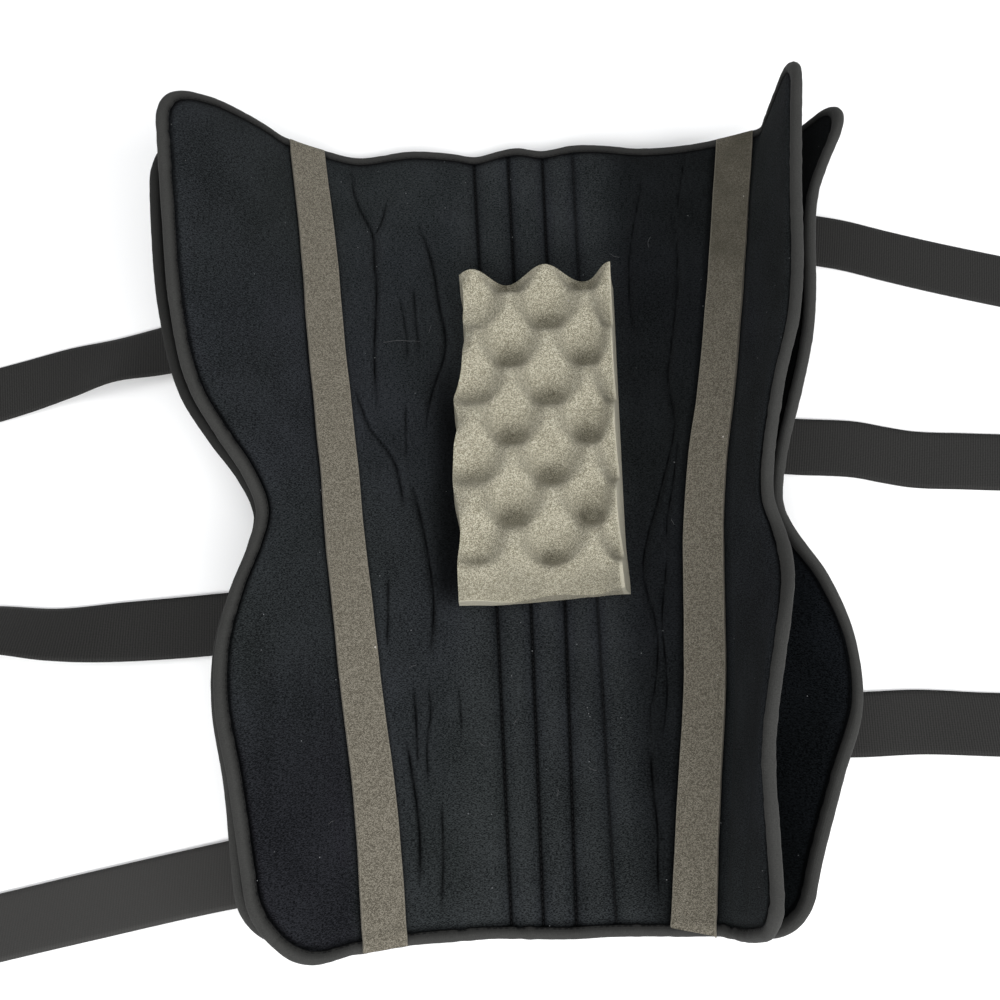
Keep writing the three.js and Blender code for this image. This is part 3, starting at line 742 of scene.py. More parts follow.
liner = {
    "rows": 240,          # between the taped ends; all counts are in fours, for the simulation's coarser grid
    "endRows": 4,
    "columns": (4, 28, 4, 4, 104, 16, 16, 16, 84, 4, 4, 24, 4),
    "closer": (1, 5, 6, 7, 11),                           # stretches with columns closer at both ends
    "channels": slice(5, 9),                              # stretches that start at a sewn line
    "pinch": 16,                                          # how far in from the edge the foam is held down
    "channelDepth": 3.2, "channelShoulder": 13, "channelCurve": 3.2, "channelLine": 1.4,
    "uneven": ((0.5, 38, 2.5), (0.2, 15, 7.5)),           # height, size and seed
    "ripple": (0.55, 9, 1.5), "rippleStretch": 6, "rippleFrom": (40, 60),
    "reliefFrom": (4, 14), "channelFrom": (2, 9),         # in from the edge
}
# the four lines that sew the stay channels, and how deep each draws the cloth and how dark its painted shade
# is
stitchLines = table(
    "y first second third fourth",
    (-249, -14, 4, 22.5, 45), (-68, -20, 1, 22, 42), (249, -32, -8, 16, 37))
stitchPull = {"first": 1, "second": 1, "third": 1, "fourth": 0.7}
# creases of the lining on the flat pattern: depth, half width, and points from the thigh end down
creases = [
    (1.9, 1.5, [(-119, 246), (-116, 223), (-110, 208), (-101, 190), (-101, 172), (-98, 148), (-99, 117),
                (-99, 94), (-96, 58)]),
    (1.0, 1.4, [(-92, 216), (-96, 198), (-101, 189)]),
    (1.5, 1.5, [(-112, 76), (-102, 46), (-90, 34), (-83, 22), (-80, 6), (-78, -6)]),
    (1.8, 1.7, [(-71, 200), (-60, 165), (-56, 133), (-51, 112), (-53, 96), (-59, 79), (-63, 63), (-65, 44)]),
    (1.0, 1.3, [(-74, 152), (-72, 130), (-69, 100)]),
    (0.8, 1.3, [(-83, 142), (-78, 118), (-77, 95)]),
    (0.8, 1.3, [(-78, 66), (-77, 28)]),
    (1.8, 1.6, [(-73, 10), (-66, -17), (-62, -39), (-59, -60), (-59, -77), (-61, -98)]),
    (0.9, 1.5, [(-87, -50), (-87, -71), (-87, -94)]),
    (1.7, 1.7, [(-75, -146), (-71, -168), (-68, -185), (-66, -207), (-66, -226)]),
    (1.1, 1.5, [(-71, -115), (-69, -138), (-68, -162)]),
    (0.9, 1.4, [(-62, -116), (-60, -132), (-63, -147), (-62, -172)]),
    (0.6, 1.4, [(-44, -115), (-42, -142)]),
    (0.8, 1.5, [(-54, -181), (-53, -203), (-53, -222), (-54, -240)]),
    (1.3, 1.5, [(116, 246), (111, 223), (108, 200)]),
    (1.9, 1.6, [(106, 220), (105, 201), (106, 172), (105, 141), (97, 96), (93, 75), (97, 52), (96, 37),
                (87, 7), (81, -12), (73, -35), (71, -50), (73, -62), (78, -82), (78, -98), (75, -120),
                (70, -135), (70, -172)]),
    (1.2, 1.6, [(86, 238), (81, 207), (75, 180), (73, 160), (72, 129), (75, 104)]),
    (1.3, 1.5, [(99, 38), (94, 7), (88, -17), (87, -36)]),
    (1.6, 1.6, [(88, -32), (84, -59), (81, -80), (82, -99), (82, -120), (79, -141), (75, -156)]),
    (2.0, 1.9, [(70, -150), (70, -176), (72, -198), (70, -221), (70, -242)]),
    (1.0, 3.5, [(-159, -98), (-159, -146), (-155, -184)]),
    (0.9, 2.5, [(-144, -97), (-141, -123)]),
    (0.9, 2.5, [(-135, -103), (-134, -131), (-135, -154)]),
    (1.2, 4.0, [(131, -70), (123, -141), (115, -197), (107, -246)]),
    (1.0, 3.5, [(157, -166), (139, -209), (129, -245)]),
]
# creases sink the cloth and carry a painted shade along their valleys
creaseLook = {
    "depth": 0.9, "reach": 8, "shoulderAt": 2.8, "shoulderWidth": 1.9, "shoulder": 0.32, "shoulderLean": 0.16,
    "dark": ((0.85, 0.5), (0.2, 1.2)),                    # painted shade: shares, and widths by the crease's own
    "darkBase": 0.55, "darkByDepth": 0.35, "fade": (2.2, 0.7),
    "softFrom": 2, "softDark": 0.12,                      # wide creases are soft folds with little shade
}
# shade in the lining: how dark, how far past an edge, and where it sets in and fades out
shade = {
    "seam": {"past": 0.5, "width": 1.5},
    "fold": {"dark": 0.9, "past": 0.6, "width": 1.3, "wider": 1.7, "calf": (50, 130)},
    "rightSide": {"dark": 0.48, "s": (50, 76), "past": (2, 12)},
    "besidePad": {"dark": 0.75, "s": ((-68, -50), (0, 10)), "y": ((-76, -52), (50, 115))},
    "abovePad": {"dark": 0.7, "past": 1, "width": 6, "s": ((-44, -36), (52, 62))},
    "besideStrip": {"dark": 0.8, "width": 7},
    "rightWing": {"dark": 0.18, "past": (4, 12)},
}
# the nap is rubbed on the channels, and painted shade darkens the left wing toward the calf
rubAndCalfShade = {
    "worn": 0.4, "gap": (2, 8), "middle": 8, "half": (40, 62),
    "paintedCalfShade": 0.9, "calf": (70, 190), "past": (0, 6),
}


def spread(low, high, count, closer=False):
    t = np.linspace(0, 1, count + 1)
    if closer:
        t = 0.5 * t + 0.25 * (1 - np.cos(np.pi * t))
    return low[:, None] + (high - low)[:, None] * t[None, :]


# lines along the leg, with some of their own under the tape at both ends
def rowsAlong(low, high, rows, endRows):
    width = pattern["tapeWidth"]
    return np.concatenate([
        np.linspace(low, low + width, endRows + 1)[:-1],
        np.linspace(low + width, high - width, rows + 1),
        np.linspace(high - width, high, endRows + 1)[1:]])


def columnsAcross(stops, counts, closer=()):
    parts = [spread(stops[k], stops[k + 1], count, k in closer)[:, :-1] for k, count in enumerate(counts)]
    return np.concatenate([*parts, stops[-1][:, None]], 1)


def linerGrid():
    width, foldRound, stripWidth = pattern["tapeWidth"], pattern["foldRound"], pattern["stripWidth"]
    y = rowsAlong(*pattern["linerEnds"], liner["rows"], liner["endRows"])
    side = np.ones_like(y)
    fold = sideValue("fold", side, y)
    leftEdge, rightEdge = -linerEdge(-side, y), linerEdge(side, y)
    leftStrip, rightStrip = stripOuter(-1, y), stripOuter(1, y)
    lines = [readSmooth(stitchLines, "y", name, y) for name in stitchPull]
    stops = [leftEdge, leftEdge + width, -fold - foldRound, -leftStrip, stripWidth - leftStrip, *lines,
             rightStrip - stripWidth, rightStrip, fold + foldRound, rightEdge - width, rightEdge]
    s = columnsAcross(stops, liner["columns"], liner["closer"])
    y = np.repeat(y[:, None], s.shape[1], 1)
    return roundCorners(s, y, pattern["linerEnds"], pattern["linerCorners"], linerEdge)


# distance from each flat point to the rim of its own grid
def rimDistance(s, y):
    flat = np.stack([s, y], -1)
    rim = rimOf(flat)
    tree = flatTree(np.concatenate([rim + (np.roll(rim, -1, 0) - rim) * k / 4 for k in range(4)]))
    return np.array([tree.find((a, b, 0))[2] for a, b in flat.reshape(-1, 2)]).reshape(s.shape)


def heldThickness(distance, thick, reach):
    edge = pattern["edgeThick"] / 2
    return edge + (thick / 2 - edge) * smoothStep(distance, -pattern["pinchOut"], reach)


def runLengths(line):
    return np.concatenate([[0], np.cumsum(np.linalg.norm(np.diff(line, axis=0), axis=1))])


def smoothLine(points, step=1.0):
    line = np.array(points, float)
    for _ in range(2):
        near, far = 0.75 * line[:-1] + 0.25 * line[1:], 0.25 * line[:-1] + 0.75 * line[1:]
        line = np.concatenate([line[:1], np.stack([near, far], 1).reshape(-1, 2), line[-1:]])
    lengths = runLengths(line)
    at = np.arange(0, lengths[-1], step)
    return np.stack([np.interp(at, lengths, line[:, k]) for k in range(2)], -1), at / lengths[-1]


# the creases' relief, and the painted shade in their valleys
def creaseRelief(s, y):
    look = creaseLook
    relief, hollow = np.zeros_like(s), np.zeros_like(s)
    for depth, width, points in creases:
        line, share = smoothLine(points)
        low, high = line.min(0) - look["reach"] * width, line.max(0) + look["reach"] * width
        near = (s > low[0]) & (s < high[0]) & (y > low[1]) & (y < high[1])
        apart = np.stack([s[near], y[near]], -1)[:, None] - line[None]
        squared = (apart**2).sum(-1)
        nearest = squared.argmin(1)
        each = np.arange(len(nearest))
        distance = np.sqrt(squared[each, nearest]) / width
        steep, power = look["fade"]
        fade = np.clip(steep * np.sin(np.pi * np.clip(share[nearest], 0.01, 0.99)), 0, 1) ** power
        side = np.sign(apart[each, nearest, 0])
        shoulder = bell(distance - look["shoulderAt"], look["shoulderWidth"])
        shoulder = shoulder * (look["shoulder"] + look["shoulderLean"] * side)
        relief[near] += look["depth"] * depth * fade * (shoulder - bell(distance, 1))
        dark = sum(part * bell(distance, wide) for part, wide in look["dark"])
        dark = dark * (1 if width < look["softFrom"] else look["softDark"])
        dark = dark * min(1, look["darkBase"] + look["darkByDepth"] * depth)
        hollow[near] = np.maximum(hollow[near], dark * fade)
    return relief, hollow


# the channels' relief, the painted shade along their sewn lines, and the distance to the nearest line
def channelRelief(s, y):
    gaps = np.stack([np.abs(s - readSmooth(stitchLines, "y", name, y)) for name in stitchPull])
    strength = np.array(list(stitchPull.values()))[gaps.argmin(0)]
    gap = gaps.min(0)
    drawn = (1 - np.clip(gap / liner["channelShoulder"], 0, 1)) ** liner["channelCurve"]
    return -liner["channelDepth"] * strength * drawn, strength * bell(gap, liner["channelLine"]), gap


def unevenness(s, y, height, size, seed):
    flat = np.stack([s, y], -1).reshape(-1, 2) / size
    return height * np.array([noise.noise((a, b, seed)) for a, b in flat]).reshape(s.shape)


puff = {
    "coarse": 4, "grow": 10, "pressure": 4.0, "mass": 0.08, "stiffness": 12.0, "bending": 0.6, "damping": 4,
    "frames": 20, "cap": 2.2,                             # cap in millimetres
    "seamFrom": (5.5, 9), "creaseHold": 0.7,
}


# blows the foam up between its seams: gives how far each top point of the grid moves
def puffCloth(top, bottom, held):
    step = puff["coarse"]
    coarseTop, coarseBottom = top[::step, ::step], bottom[::step, ::step]
    rows, columns = coarseTop.shape[:2]
    points = joinSides(coarseTop, coarseBottom) * puff["grow"]
    piece = makePiece("puffTrial", points, sheetFaces(rows, columns), "lining")
    group = piece.vertex_groups.new(name="held")
    weights = np.concatenate([held[::step, ::step].ravel(), np.ones(rows * columns)])
    for index, weight in enumerate(weights):
        group.add([index], float(weight), "REPLACE")
    modifier = piece.modifiers.new("puff", "CLOTH")
    cloth = modifier.settings
    cloth.vertex_group_mass = "held"
    cloth.mass = puff["mass"]
    cloth.tension_stiffness = cloth.compression_stiffness = puff["stiffness"]
    cloth.shear_stiffness = puff["stiffness"] / 3
    cloth.bending_stiffness = puff["bending"]
    cloth.air_damping = puff["damping"]
    cloth.use_pressure = True
    cloth.uniform_pressure_force = puff["pressure"]
    cloth.effector_weights.gravity = 0
    modifier.collision_settings.use_collision = False
    modifier.point_cache.frame_start = 1
    modifier.point_cache.frame_end = puff["frames"]
    for frameNumber in range(1, puff["frames"] + 1):
        scene.frame_set(frameNumber)
    graph = bpy.context.evaluated_depsgraph_get()
    moved = readPoints(piece.evaluated_get(graph).data) / mm / puff["grow"]
    shift = (moved[:rows * columns] - coarseTop.reshape(-1, 3)).reshape(rows, columns, 3)
    scene.frame_set(1)
    bpy.data.objects.remove(piece)
    length = np.linalg.norm(shift, axis=-1, keepdims=True)
    print("puff moved at most", length.max().round(2), "middle", np.median(length).round(2))
    shift = shift * puff["cap"] * np.tanh(length / puff["cap"]) / np.maximum(length, 1e-9)
    return spreadGrid(spreadGrid(shift, step, 0), step, 1)


# fills in the lines between those of a coarse grid
def spreadGrid(values, step, axis):
    values = np.moveaxis(values, axis, 0)
    at = np.arange((len(values) - 1) * step + 1) / step
    low = np.minimum(at.astype(int), len(values) - 2)
    part = (at - low).reshape((-1,) + (1,) * (values.ndim - 1))
    part = part * part * (3 - 2 * part) * 0.5 + part * 0.5
    return np.moveaxis(values[low] * (1 - part) + values[low + 1] * part, 0, axis)


# painted shade of the lining at its seam, folds and right side, and beside the pad and the strips
def linerShade(s, y, edge, past):
    seam, fold, side, beside, above, strip, wing = shade.values()
    right = s > 0
    overPad = y - pattern["padEnds"][1]
    foldWidth = fold["width"] + fold["wider"] * smoothStep(-y, *fold["calf"]) * right
    return [
        bell(edge - pattern["tapeWidth"] - seam["past"], seam["width"]),
        fold["dark"] * bell(past - fold["past"], foldWidth),
        side["dark"] * smoothStep(s, *side["s"]) * (1 - smoothStep(past, *side["past"])),
        beside["dark"] * between(s, *beside["s"]) * between(y, *beside["y"]),
        above["dark"] * bell(overPad - above["past"], above["width"]) * between(s, *above["s"]),
        strip["dark"] * bell(past + pattern["stripWidth"], strip["width"]) * right,
        wing["dark"] * smoothStep(past, *wing["past"]) * right,
    ]


def makeLiner():
    s, y = linerGrid()
    edge = rimDistance(s, y)
    half = heldThickness(edge, pattern["thick"], liner["pinch"])
    creased, creaseShade = creaseRelief(s, y)
    channelled, channelShade, gap = channelRelief(s, y)
    uneven = sum(unevenness(s, y, *row) for row in liner["uneven"])
    ripple = unevenness(s, y / liner["rippleStretch"], *liner["ripple"])
    uneven = uneven + ripple * smoothStep(np.abs(s), *liner["rippleFrom"])
    relief = (creased + uneven) * smoothStep(edge, *liner["reliefFrom"])
    relief = relief + channelled * smoothStep(edge, *liner["channelFrom"])
    past = np.abs(s) - np.where(s < 0, stripOuter(-1, y), stripOuter(1, y))     # beyond the strip
    # painted shade: creases, sewn lines, and the places in the shade table
    hollow = np.maximum.reduce([creaseShade, channelShade, *linerShade(s, y, edge, past)])
    offChannels = smoothStep(np.abs(s - rubAndCalfShade["middle"]), *rubAndCalfShade["half"])
    worn = rubAndCalfShade["worn"] * smoothStep(gap, *rubAndCalfShade["gap"]) * (1 - offChannels)
    # painted shade on the left wing toward the calf
    paintedCalfShade = rubAndCalfShade["paintedCalfShade"] * smoothStep(-y, *rubAndCalfShade["calf"]) * smoothStep(past, *rubAndCalfShade["past"]) * (s < 0)
    middle = bendCloth(s, y, 0)
    normal = surfaceNormals(middle)
    top = middle + normal * (half + relief)[..., None]
    bottom = middle - normal * half[..., None]
    onStrip = (past < 1) & (past > -pattern["stripWidth"] - 1)
    atSeam = 1 - smoothStep(edge, *puff["seamFrom"])
    held = np.maximum.reduce([atSeam, onStrip * 1.0, channelShade, puff["creaseHold"] * creaseShade])
    top = top + puffCloth(top, bottom, held)
    bottom = bottom[::2, ::2]
    flat = np.stack([s, y], -1)
    flat = joinSides(flat, flat[::2, ::2])
    masks = {name: np.concatenate([mask.ravel(), np.zeros(bottom[..., 0].size)])
             for name, mask in (("hollow", np.clip(hollow, 0, 1)), ("worn", worn), ("paintedCalfShade", paintedCalfShade))}
    piece = makePiece("liner", joinSides(top, bottom), coarseSheetFaces(*s.shape), "lining", flat, **masks)
    settle(piece, "lining", "liner_panel")
    return s, y, top


linerS, linerY, linerTop = makeLiner()
print("liner made:", linerS.shape)


# binding tape: a soft C folded over an edge

tape = {
    "width": 4.9, "crown": 1.6, "lip": 0.3, "nose": 1.8, "around": 11, "step": 1.7, "stitchIn": 4,
    "pucker": np.array((0.07, 0.1)),      # of the width and of the height
    "puckerLengths": (5.5, 17), "longPucker": 0.6, "calfPucker": 1.4, "calfFrom": (12, 4),
    # painted shade toward the inner edge of the tape, darkest at its lip
    "hollow": 0.55, "lipShade": 0.45,
    "shadeFrom": (-150, -40),             # where the liner puts the left leaf's tape in shade
}


def tapeSection(thick, reach):
    width, nose = tape["width"], tape["nose"]
    inset = np.linspace(width, -nose, tape["around"] + 1)[:-1]
    turn = (width - inset) / (width + nose)
    body = heldThickness(inset, thick, reach)
    cover = tape["lip"] + (tape["crown"] - tape["lip"]) * np.sin(np.pi * np.clip(turn * 0.95, 0, 0.5))
    height = (body + cover) * np.sqrt(np.clip(1 - np.clip((turn - 0.5) / 0.5, 0, 1) ** 2, 0, 1))
    outer = np.stack([inset, height], -1)
    inner = np.array([[width, -body[0] - 0.1], [0, -body[-1] - 0.05], [-0.3, 0], [0, body[-1] + 0.05],
                      [width, body[0] + 0.1]])
    return np.concatenate([outer, [[-nose, 0]], outer[::-1] * (1, -1), inner])


# small puckers along the tape
def puckers(at, seed):
    short, long = tape["puckerLengths"]
    return np.array([noise.noise((a / short, seed, 0)) + tape["longPucker"] * noise.noise((a / long, seed, 4))
                     for a in at])


def sweepTape(path, closed, section, bend, swell=0):
    along = (np.roll(path, -1, 0) - np.roll(path, 1, 0)) if closed else np.gradient(path, axis=0)
    along = along / np.linalg.norm(along, axis=1, keepdims=True)
    inward = np.stack([-along[:, 1], along[:, 0]], -1)
    swollen = section[None] * (1 + np.reshape(swell, (-1, 1, 1)) * tape["pucker"])
    inset, height = np.moveaxis(np.broadcast_to(swollen, (len(path), len(section), 2)), -1, 0)
    flat = path[:, None, :] + inward[:, None, :] * inset[..., None]
    return bend(flat[..., 0], flat[..., 1], height)


def evenPath(path, closed):
    ring = np.concatenate([path, path[:1]]) if closed else path
    lengths = runLengths(ring)
    count = int(lengths[-1] / tape["step"])
    at = np.linspace(0, lengths[-1], count + 1)[:count if closed else count + 1]
    return np.stack([np.interp(at, lengths, ring[:, k]) for k in range(2)], -1), at


def makeTape(name, path, closed, thick, reach, bend, node, shaded=0.0):
    path, at = evenPath(path, closed)
    section = tapeSection(thick, reach)
    far, near = tape["calfFrom"]
    atCalf = smoothStep(-path[:, 1], pattern["half"] - far, pattern["half"] - near)
    swell = puckers(at, len(name)) * (1 + tape["calfPucker"] * atCalf)
    points = sweepTape(path, closed, section, bend, swell)
    inset = section[:, 0]
    # painted shade toward the inner edge and at the lip, and over the left leaf's tape under the liner
    hollow = tape["hollow"] * smoothStep(inset, 0.5, tape["width"])
    hollow = hollow + tape["lipShade"] * (inset > tape["width"] - 0.5)
    dim = shaded * smoothStep(path[:, 1:], *tape["shadeFrom"])
    flat = np.stack(np.broadcast_arrays(runLengths(section)[None, :], at[:, None]), -1)
    faces = flipIfInside(points, tubeFaces(len(path), len(section), closed))
    piece = makePiece(name, points, faces, "tape", flat, hollow=dim + (1 - dim) * hollow[None])
    settle(piece, "binding_tape", node)
    return path


linerRim = rimOf(np.stack([linerS, linerY], -1))
linerPath = makeTape(
    "liner_tape", linerRim, True, pattern["thick"], liner["pinch"], bendCloth, "liner_binding")
print("liner tape made")


# side panels: one leaf behind each wing

leaf = {
    "rows": 150, "endRows": 3, "columns": (6, 5, 44, 3), "pinch": 13, "plainFrom": 8,
    "uneven": ((0.45, 32, 4.5), (0.2, 13, 9.5)),          # height, size and seed
    # painted shade past the seam of the tape, and on the left leaf's tape
    "reliefFrom": (4, 14), "seamPast": 0.9, "seamWidth": 1.1, "tapeShade": {-1: 0.5, 1: 0},
}


def makeLeaf(sign, word):
    low, high = pattern["leafEnds"]
    y = rowsAlong(low, high, leaf["rows"], leaf["endRows"])
    side = np.full_like(y, sign)
    fold, edge = sideValue("fold", side, y), leafEdge(side, y)
    stops = [fold - pattern["leafLap"], fold, fold + pattern["foldRound"], edge - pattern["tapeWidth"], edge]
    s = (sign * columnsAcross(stops, leaf["columns"]))[:, ::sign]
    y = np.repeat(y[:, None], s.shape[1], 1)
    s, y = roundCorners(s, y, pattern["leafEnds"], pattern["leafCorners"], leafEdge)
    # the fold side is sewn under the liner and has no tape
    fromEnd = np.minimum(y - low, high - y)
    free = np.minimum(fromEnd, leafEdge(s, y) - np.abs(s))
    distance = np.minimum(rimDistance(s, y), np.maximum(free, 0))
    distance = np.where(np.abs(s) < sideValue("fold", s, y) + leaf["plainFrom"], fromEnd, distance)
    half = heldThickness(distance, pattern["leafThick"], leaf["pinch"])
    (height, size, seed), fine = leaf["uneven"]
    uneven = unevenness(s, y, height, size, seed + sign) + unevenness(s, y, *fine)
    top = bendLeaf(s, y, half + uneven * smoothStep(distance, *leaf["reliefFrom"]))
    # painted shade in the seam past the tape
    seam = bell(distance - pattern["tapeWidth"] - leaf["seamPast"], leaf["seamWidth"])
    piece = makeSheet(f"leaf_{word}", s, y, top, bendLeaf(s, y, -half), "shell", hollow=seam)
    settle(piece, "shell_fabric", f"side_panel_{word}")
    grid = np.stack([s, y], -1)
    if sign > 0:
        rim = [grid[0, :-1], grid[:-1, -1], grid[-1, ::-1]]
    else:
        rim = [grid[-1, :0:-1], grid[:0:-1, 0], grid[0]]
    makeTape(f"leaf_{word}_tape", np.concatenate(rim), False, pattern["leafThick"], leaf["pinch"], bendLeaf,
             f"side_panel_{word}_binding", leaf["tapeShade"][sign])


makeLeaf(-1, "left")
makeLeaf(1, "right")
print("leaves made")


# grip strips

grip = {
    "rows": 260, "columns": 12, "waver": 0.35, "waverLength": 26, "bevel": 0.35, "short": (0.6, 1.2),
    "edges": (0.012, 0.04),                               # columns next to the sides, by the width
    "calfCut": {-1: (-1.4, -1.4), 1: (3.8, -2.4)},        # how far the calf end is off square, from -s to +s
    "cutReach": 40, "seat": 0.15, "tapeGap": 0.2, "overTape": (-0.5, 7),
    "droop": 0.6, "droopFrom": (0.5, 3), "worn": 0.5,
    "soiled": {-1: 0, 1: 0.66}, "soiledFrom": (60, 200), "blotchBase": 0.8, "blotch": (0.5, 14, 3.5),
}


def makeGrip(sign, word):
    half, width, tapeWidth = pattern["half"], pattern["stripWidth"], pattern["tapeWidth"]
    y = np.linspace(-half + grip["short"][0], half - grip["short"][1], grip["rows"] + 1)
    inner = stripOuter(sign, y) - width
    waver = np.array([[noise.noise((a / grip["waverLength"], b, 3.1)) for a in y] for b in (0.2, 5.7)])
    waver = waver * grip["waver"]
    first, second = grip["edges"]
    across = np.linspace(second, 1 - second, grip["columns"] - 3)
    across = np.concatenate([[0, first], across, [1 - first, 1]])
    fromSide = np.minimum(across, 1 - across)
    s = (inner + waver[0])[:, None] + (width + waver[1] - waver[0])[:, None] * across[None, :]
    s = (sign * s)[:, ::sign]
    nearCalf = 1 - smoothStep(y, -half, -half + grip["cutReach"])
    y = y[:, None] + nearCalf[:, None] * np.linspace(*grip["calfCut"][sign], s.shape[1])[None, :]
    fromEnd = half - np.abs(y)
    overTape = 1 - smoothStep(fromEnd, *(tapeWidth + past for past in grip["overTape"]))
    body = heldThickness(np.maximum(fromEnd, 0), pattern["thick"], liner["pinch"])
    under = body + np.maximum(grip["seat"], (tape["crown"] + grip["tapeGap"]) * overTape)
    under = under - grip["droop"] * (1 - smoothStep(fromEnd, *grip["droopFrom"]))
    edgeRound = grip["bevel"] * (fromSide < first / 2)
    top = bendCloth(s, y, under + pattern["stripThick"] - edgeRound[None, :])
    worn = grip["worn"] * (fromSide < 2 * first)
    blotch = grip["blotchBase"] + unevenness(s, y, *grip["blotch"])
    soiled = grip["soiled"][sign] * smoothStep(y, *grip["soiledFrom"]) * blotch
    piece = makeSheet(f"grip_{word}", s, y, top, bendCloth(s, y, under), "grip", 50, worn=worn, soiled=soiled)
    settle(piece, "grip_foam", f"grip_strip_{word}")


makeGrip(-1, "left")
makeGrip(1, "right")
print("grip strips made")


# egg-crate pad: a rule of bumps and pits, grown by nodes

pad = {
    "base": 11, "bump": 27, "across": 23.3, "along": 25.9, "column": 13.3, "row": 4.3, "sharp": (1.0, 1.5),
    "cells": (92, 188, 14), "sharpEdge": 48,
    # the pits are shallower down the left side, most of all the one next to the thigh end
    "shallow": 0.1, "leftShallow": 0.25, "leftFrom": (8, 24), "thighFrom": (-30, -8),
    "shallowPit": {"share": 0.6, "x": (-35, 14), "y": (112, 15)},
    "spare": 4.2, "spareFrom": ((14, 37), (40, 60)),      # the last column stands wider
    "lean": 0.24, "leanIn": (20, 10), "leftCut": 16,
    "sideReach": 30, "calfReach": 40, "thighReach": 30,   # how far in the sides are shaped
    "rightFlare": (1.6, 1.8), "flareTop": 30, "calfSlant": 5, "calfSlantFrom": 10,
    "thighSlant": (3.2, -1.1), "thighSlantFrom": (-30, 14), "calfThin": 0.55, "thinReach": 18,
    # a painted highlight along the cut right side and calf end; soil toward the calf end
    "worn": 0.75, "wornSide": (-1.5, -0.5), "wornCalf": (0, 1.2), "soiled": 0.23, "soiledFrom": (5, 35),
}
# how far the hand-cut left side strays, by the distance from the thigh end
padLeftCut = table(
    "from stray", (0, 0.5), (12, 2.5), (22, 3.4), (38, 3), (46, 5), (58, 3), (71, 1.8), (91, -3), (108, -0.3),
    (124, -3), (148, -3.3), (161, -0.7), (174, 1), (191, -0.7), (211, -0.7))


# runs a tree on an object and gives the plain mesh that it makes
def runTree(owner, group, **values):
    modifier = owner.modifiers.new(group.name, "NODES")
    modifier.node_group = group
    for item in group.interface.items_tree:
        label = item.name.replace(" ", "_")
        if item.item_type == "SOCKET" and item.in_out == "INPUT" and label in values:
            modifier[item.identifier] = values[label]
    graph = bpy.context.evaluated_depsgraph_get()
    mesh = bpy.data.meshes.new_from_object(owner.evaluated_get(graph))
    owner.modifiers.remove(modifier)
    return mesh


def finishTree(group, into, geometry, out):
    real = addNode(group, "GeometryNodeRealizeInstances", {0: geometry}).outputs[0]
    paint = addNode(group, "GeometryNodeSetMaterial", {"Geometry": real, "Material": into["Material"]})
    feed(group, out[0], paint.outputs[0])


def makeEggCrateTree():
    group, into, out = startGroup(
        "eggCrate", "GeometryNodeTree",
        {"Geometry": "Geometry", "Width": 1.0, "Length": 1.0, "Base": 0.3, "Bump": 0.5,
         "Pitch across": 1.0, "Pitch along": 1.0, "First column": 0.0, "First row": 0.0,
         "Sharp across": 1.0, "Sharp along": 1.0, "Columns": 40, "Rows": 80, "Layers": 8,
         "Material": "Material"},
        {"Geometry": "Geometry"})
    size = addNode(group, "ShaderNodeCombineXYZ", {0: into["Width"], 1: into["Length"], 2: 1}).outputs[0]
    block = addNode(group, "GeometryNodeMeshCube", {
        "Size": size, "Vertices X": into["Columns"], "Vertices Y": into["Rows"],
        "Vertices Z": into["Layers"]})
    place = addNode(group, "GeometryNodeInputPosition", {}).outputs[0]
    x, y, z = addNode(group, "ShaderNodeSeparateXYZ", {0: place}).outputs

    # pits where one wave is high and the other low, sharper along than across
    def wave(value, start, pitch, sign, power):
        turned = addMath(group, "DIVIDE", addMath(group, "SUBTRACT", value, start), pitch)
        turned = addMath(group, "COSINE", addMath(group, "MULTIPLY", turned, math.pi))
        half = addMath(group, "MULTIPLY_ADD", turned, 0.5 * sign, 0.5, clamp=True)
        return addMath(group, "POWER", half, power)

    pits = []
    for sign in (1, -1):
        across = wave(x, into["First column"], into["Pitch across"], sign, into["Sharp across"])
        along = wave(y, into["First row"], into["Pitch along"], -sign, into["Sharp along"])
        pits.append(addMath(group, "MULTIPLY", across, along))
    bumps = addMath(group, "SUBTRACT", 1.0, addMath(group, "ADD", *pits))
    crown = addMath(group, "MULTIPLY_ADD", bumps, into["Bump"], into["Base"])
    level = addMath(group, "MULTIPLY", addMath(group, "ADD", z, 0.5), crown)
    raised = addNode(group, "ShaderNodeCombineXYZ", {0: x, 1: y, 2: level}).outputs[0]
    shift = addNode(group, "GeometryNodeSetPosition", {"Geometry": block.outputs["Mesh"], "Position": raised})
    finishTree(group, into, shift.outputs[0], out)
    return group


def emptyOwner(name, points=(), edges=()):
    mesh = bpy.data.meshes.new(name)
    mesh.from_pydata(list(points), list(edges), [])
    return linkObject(name, mesh)


# fills the pits up by a share of what they lack
def raisePits(points, x, y):
    (left, _), (_, thigh) = pattern["padSides"], pattern["padEnds"]
    _, post = np.unique(points[:, :2].round(3), axis=0, return_inverse=True)
    crown = np.zeros(post.max() + 1)
    np.maximum.at(crown, post.ravel(), points[:, 2])
    crown = crown[post.ravel()]
    shallow = pad["shallow"] + pad["leftShallow"] * (1 - smoothStep(x - left, *pad["leftFrom"]))
    shallow = shallow * (1 - smoothStep(y - thigh, *pad["thighFrom"]))
    pit = pad["shallowPit"]
    (pitX, wide), (pitY, long) = pit["x"], pit["y"]
    shallow = np.maximum(shallow, pit["share"] * bell(x - pitX, wide) * bell(y - pitY, long))
    return points[:, 2] * (1 + shallow * (pad["base"] + pad["bump"] - crown) / crown)


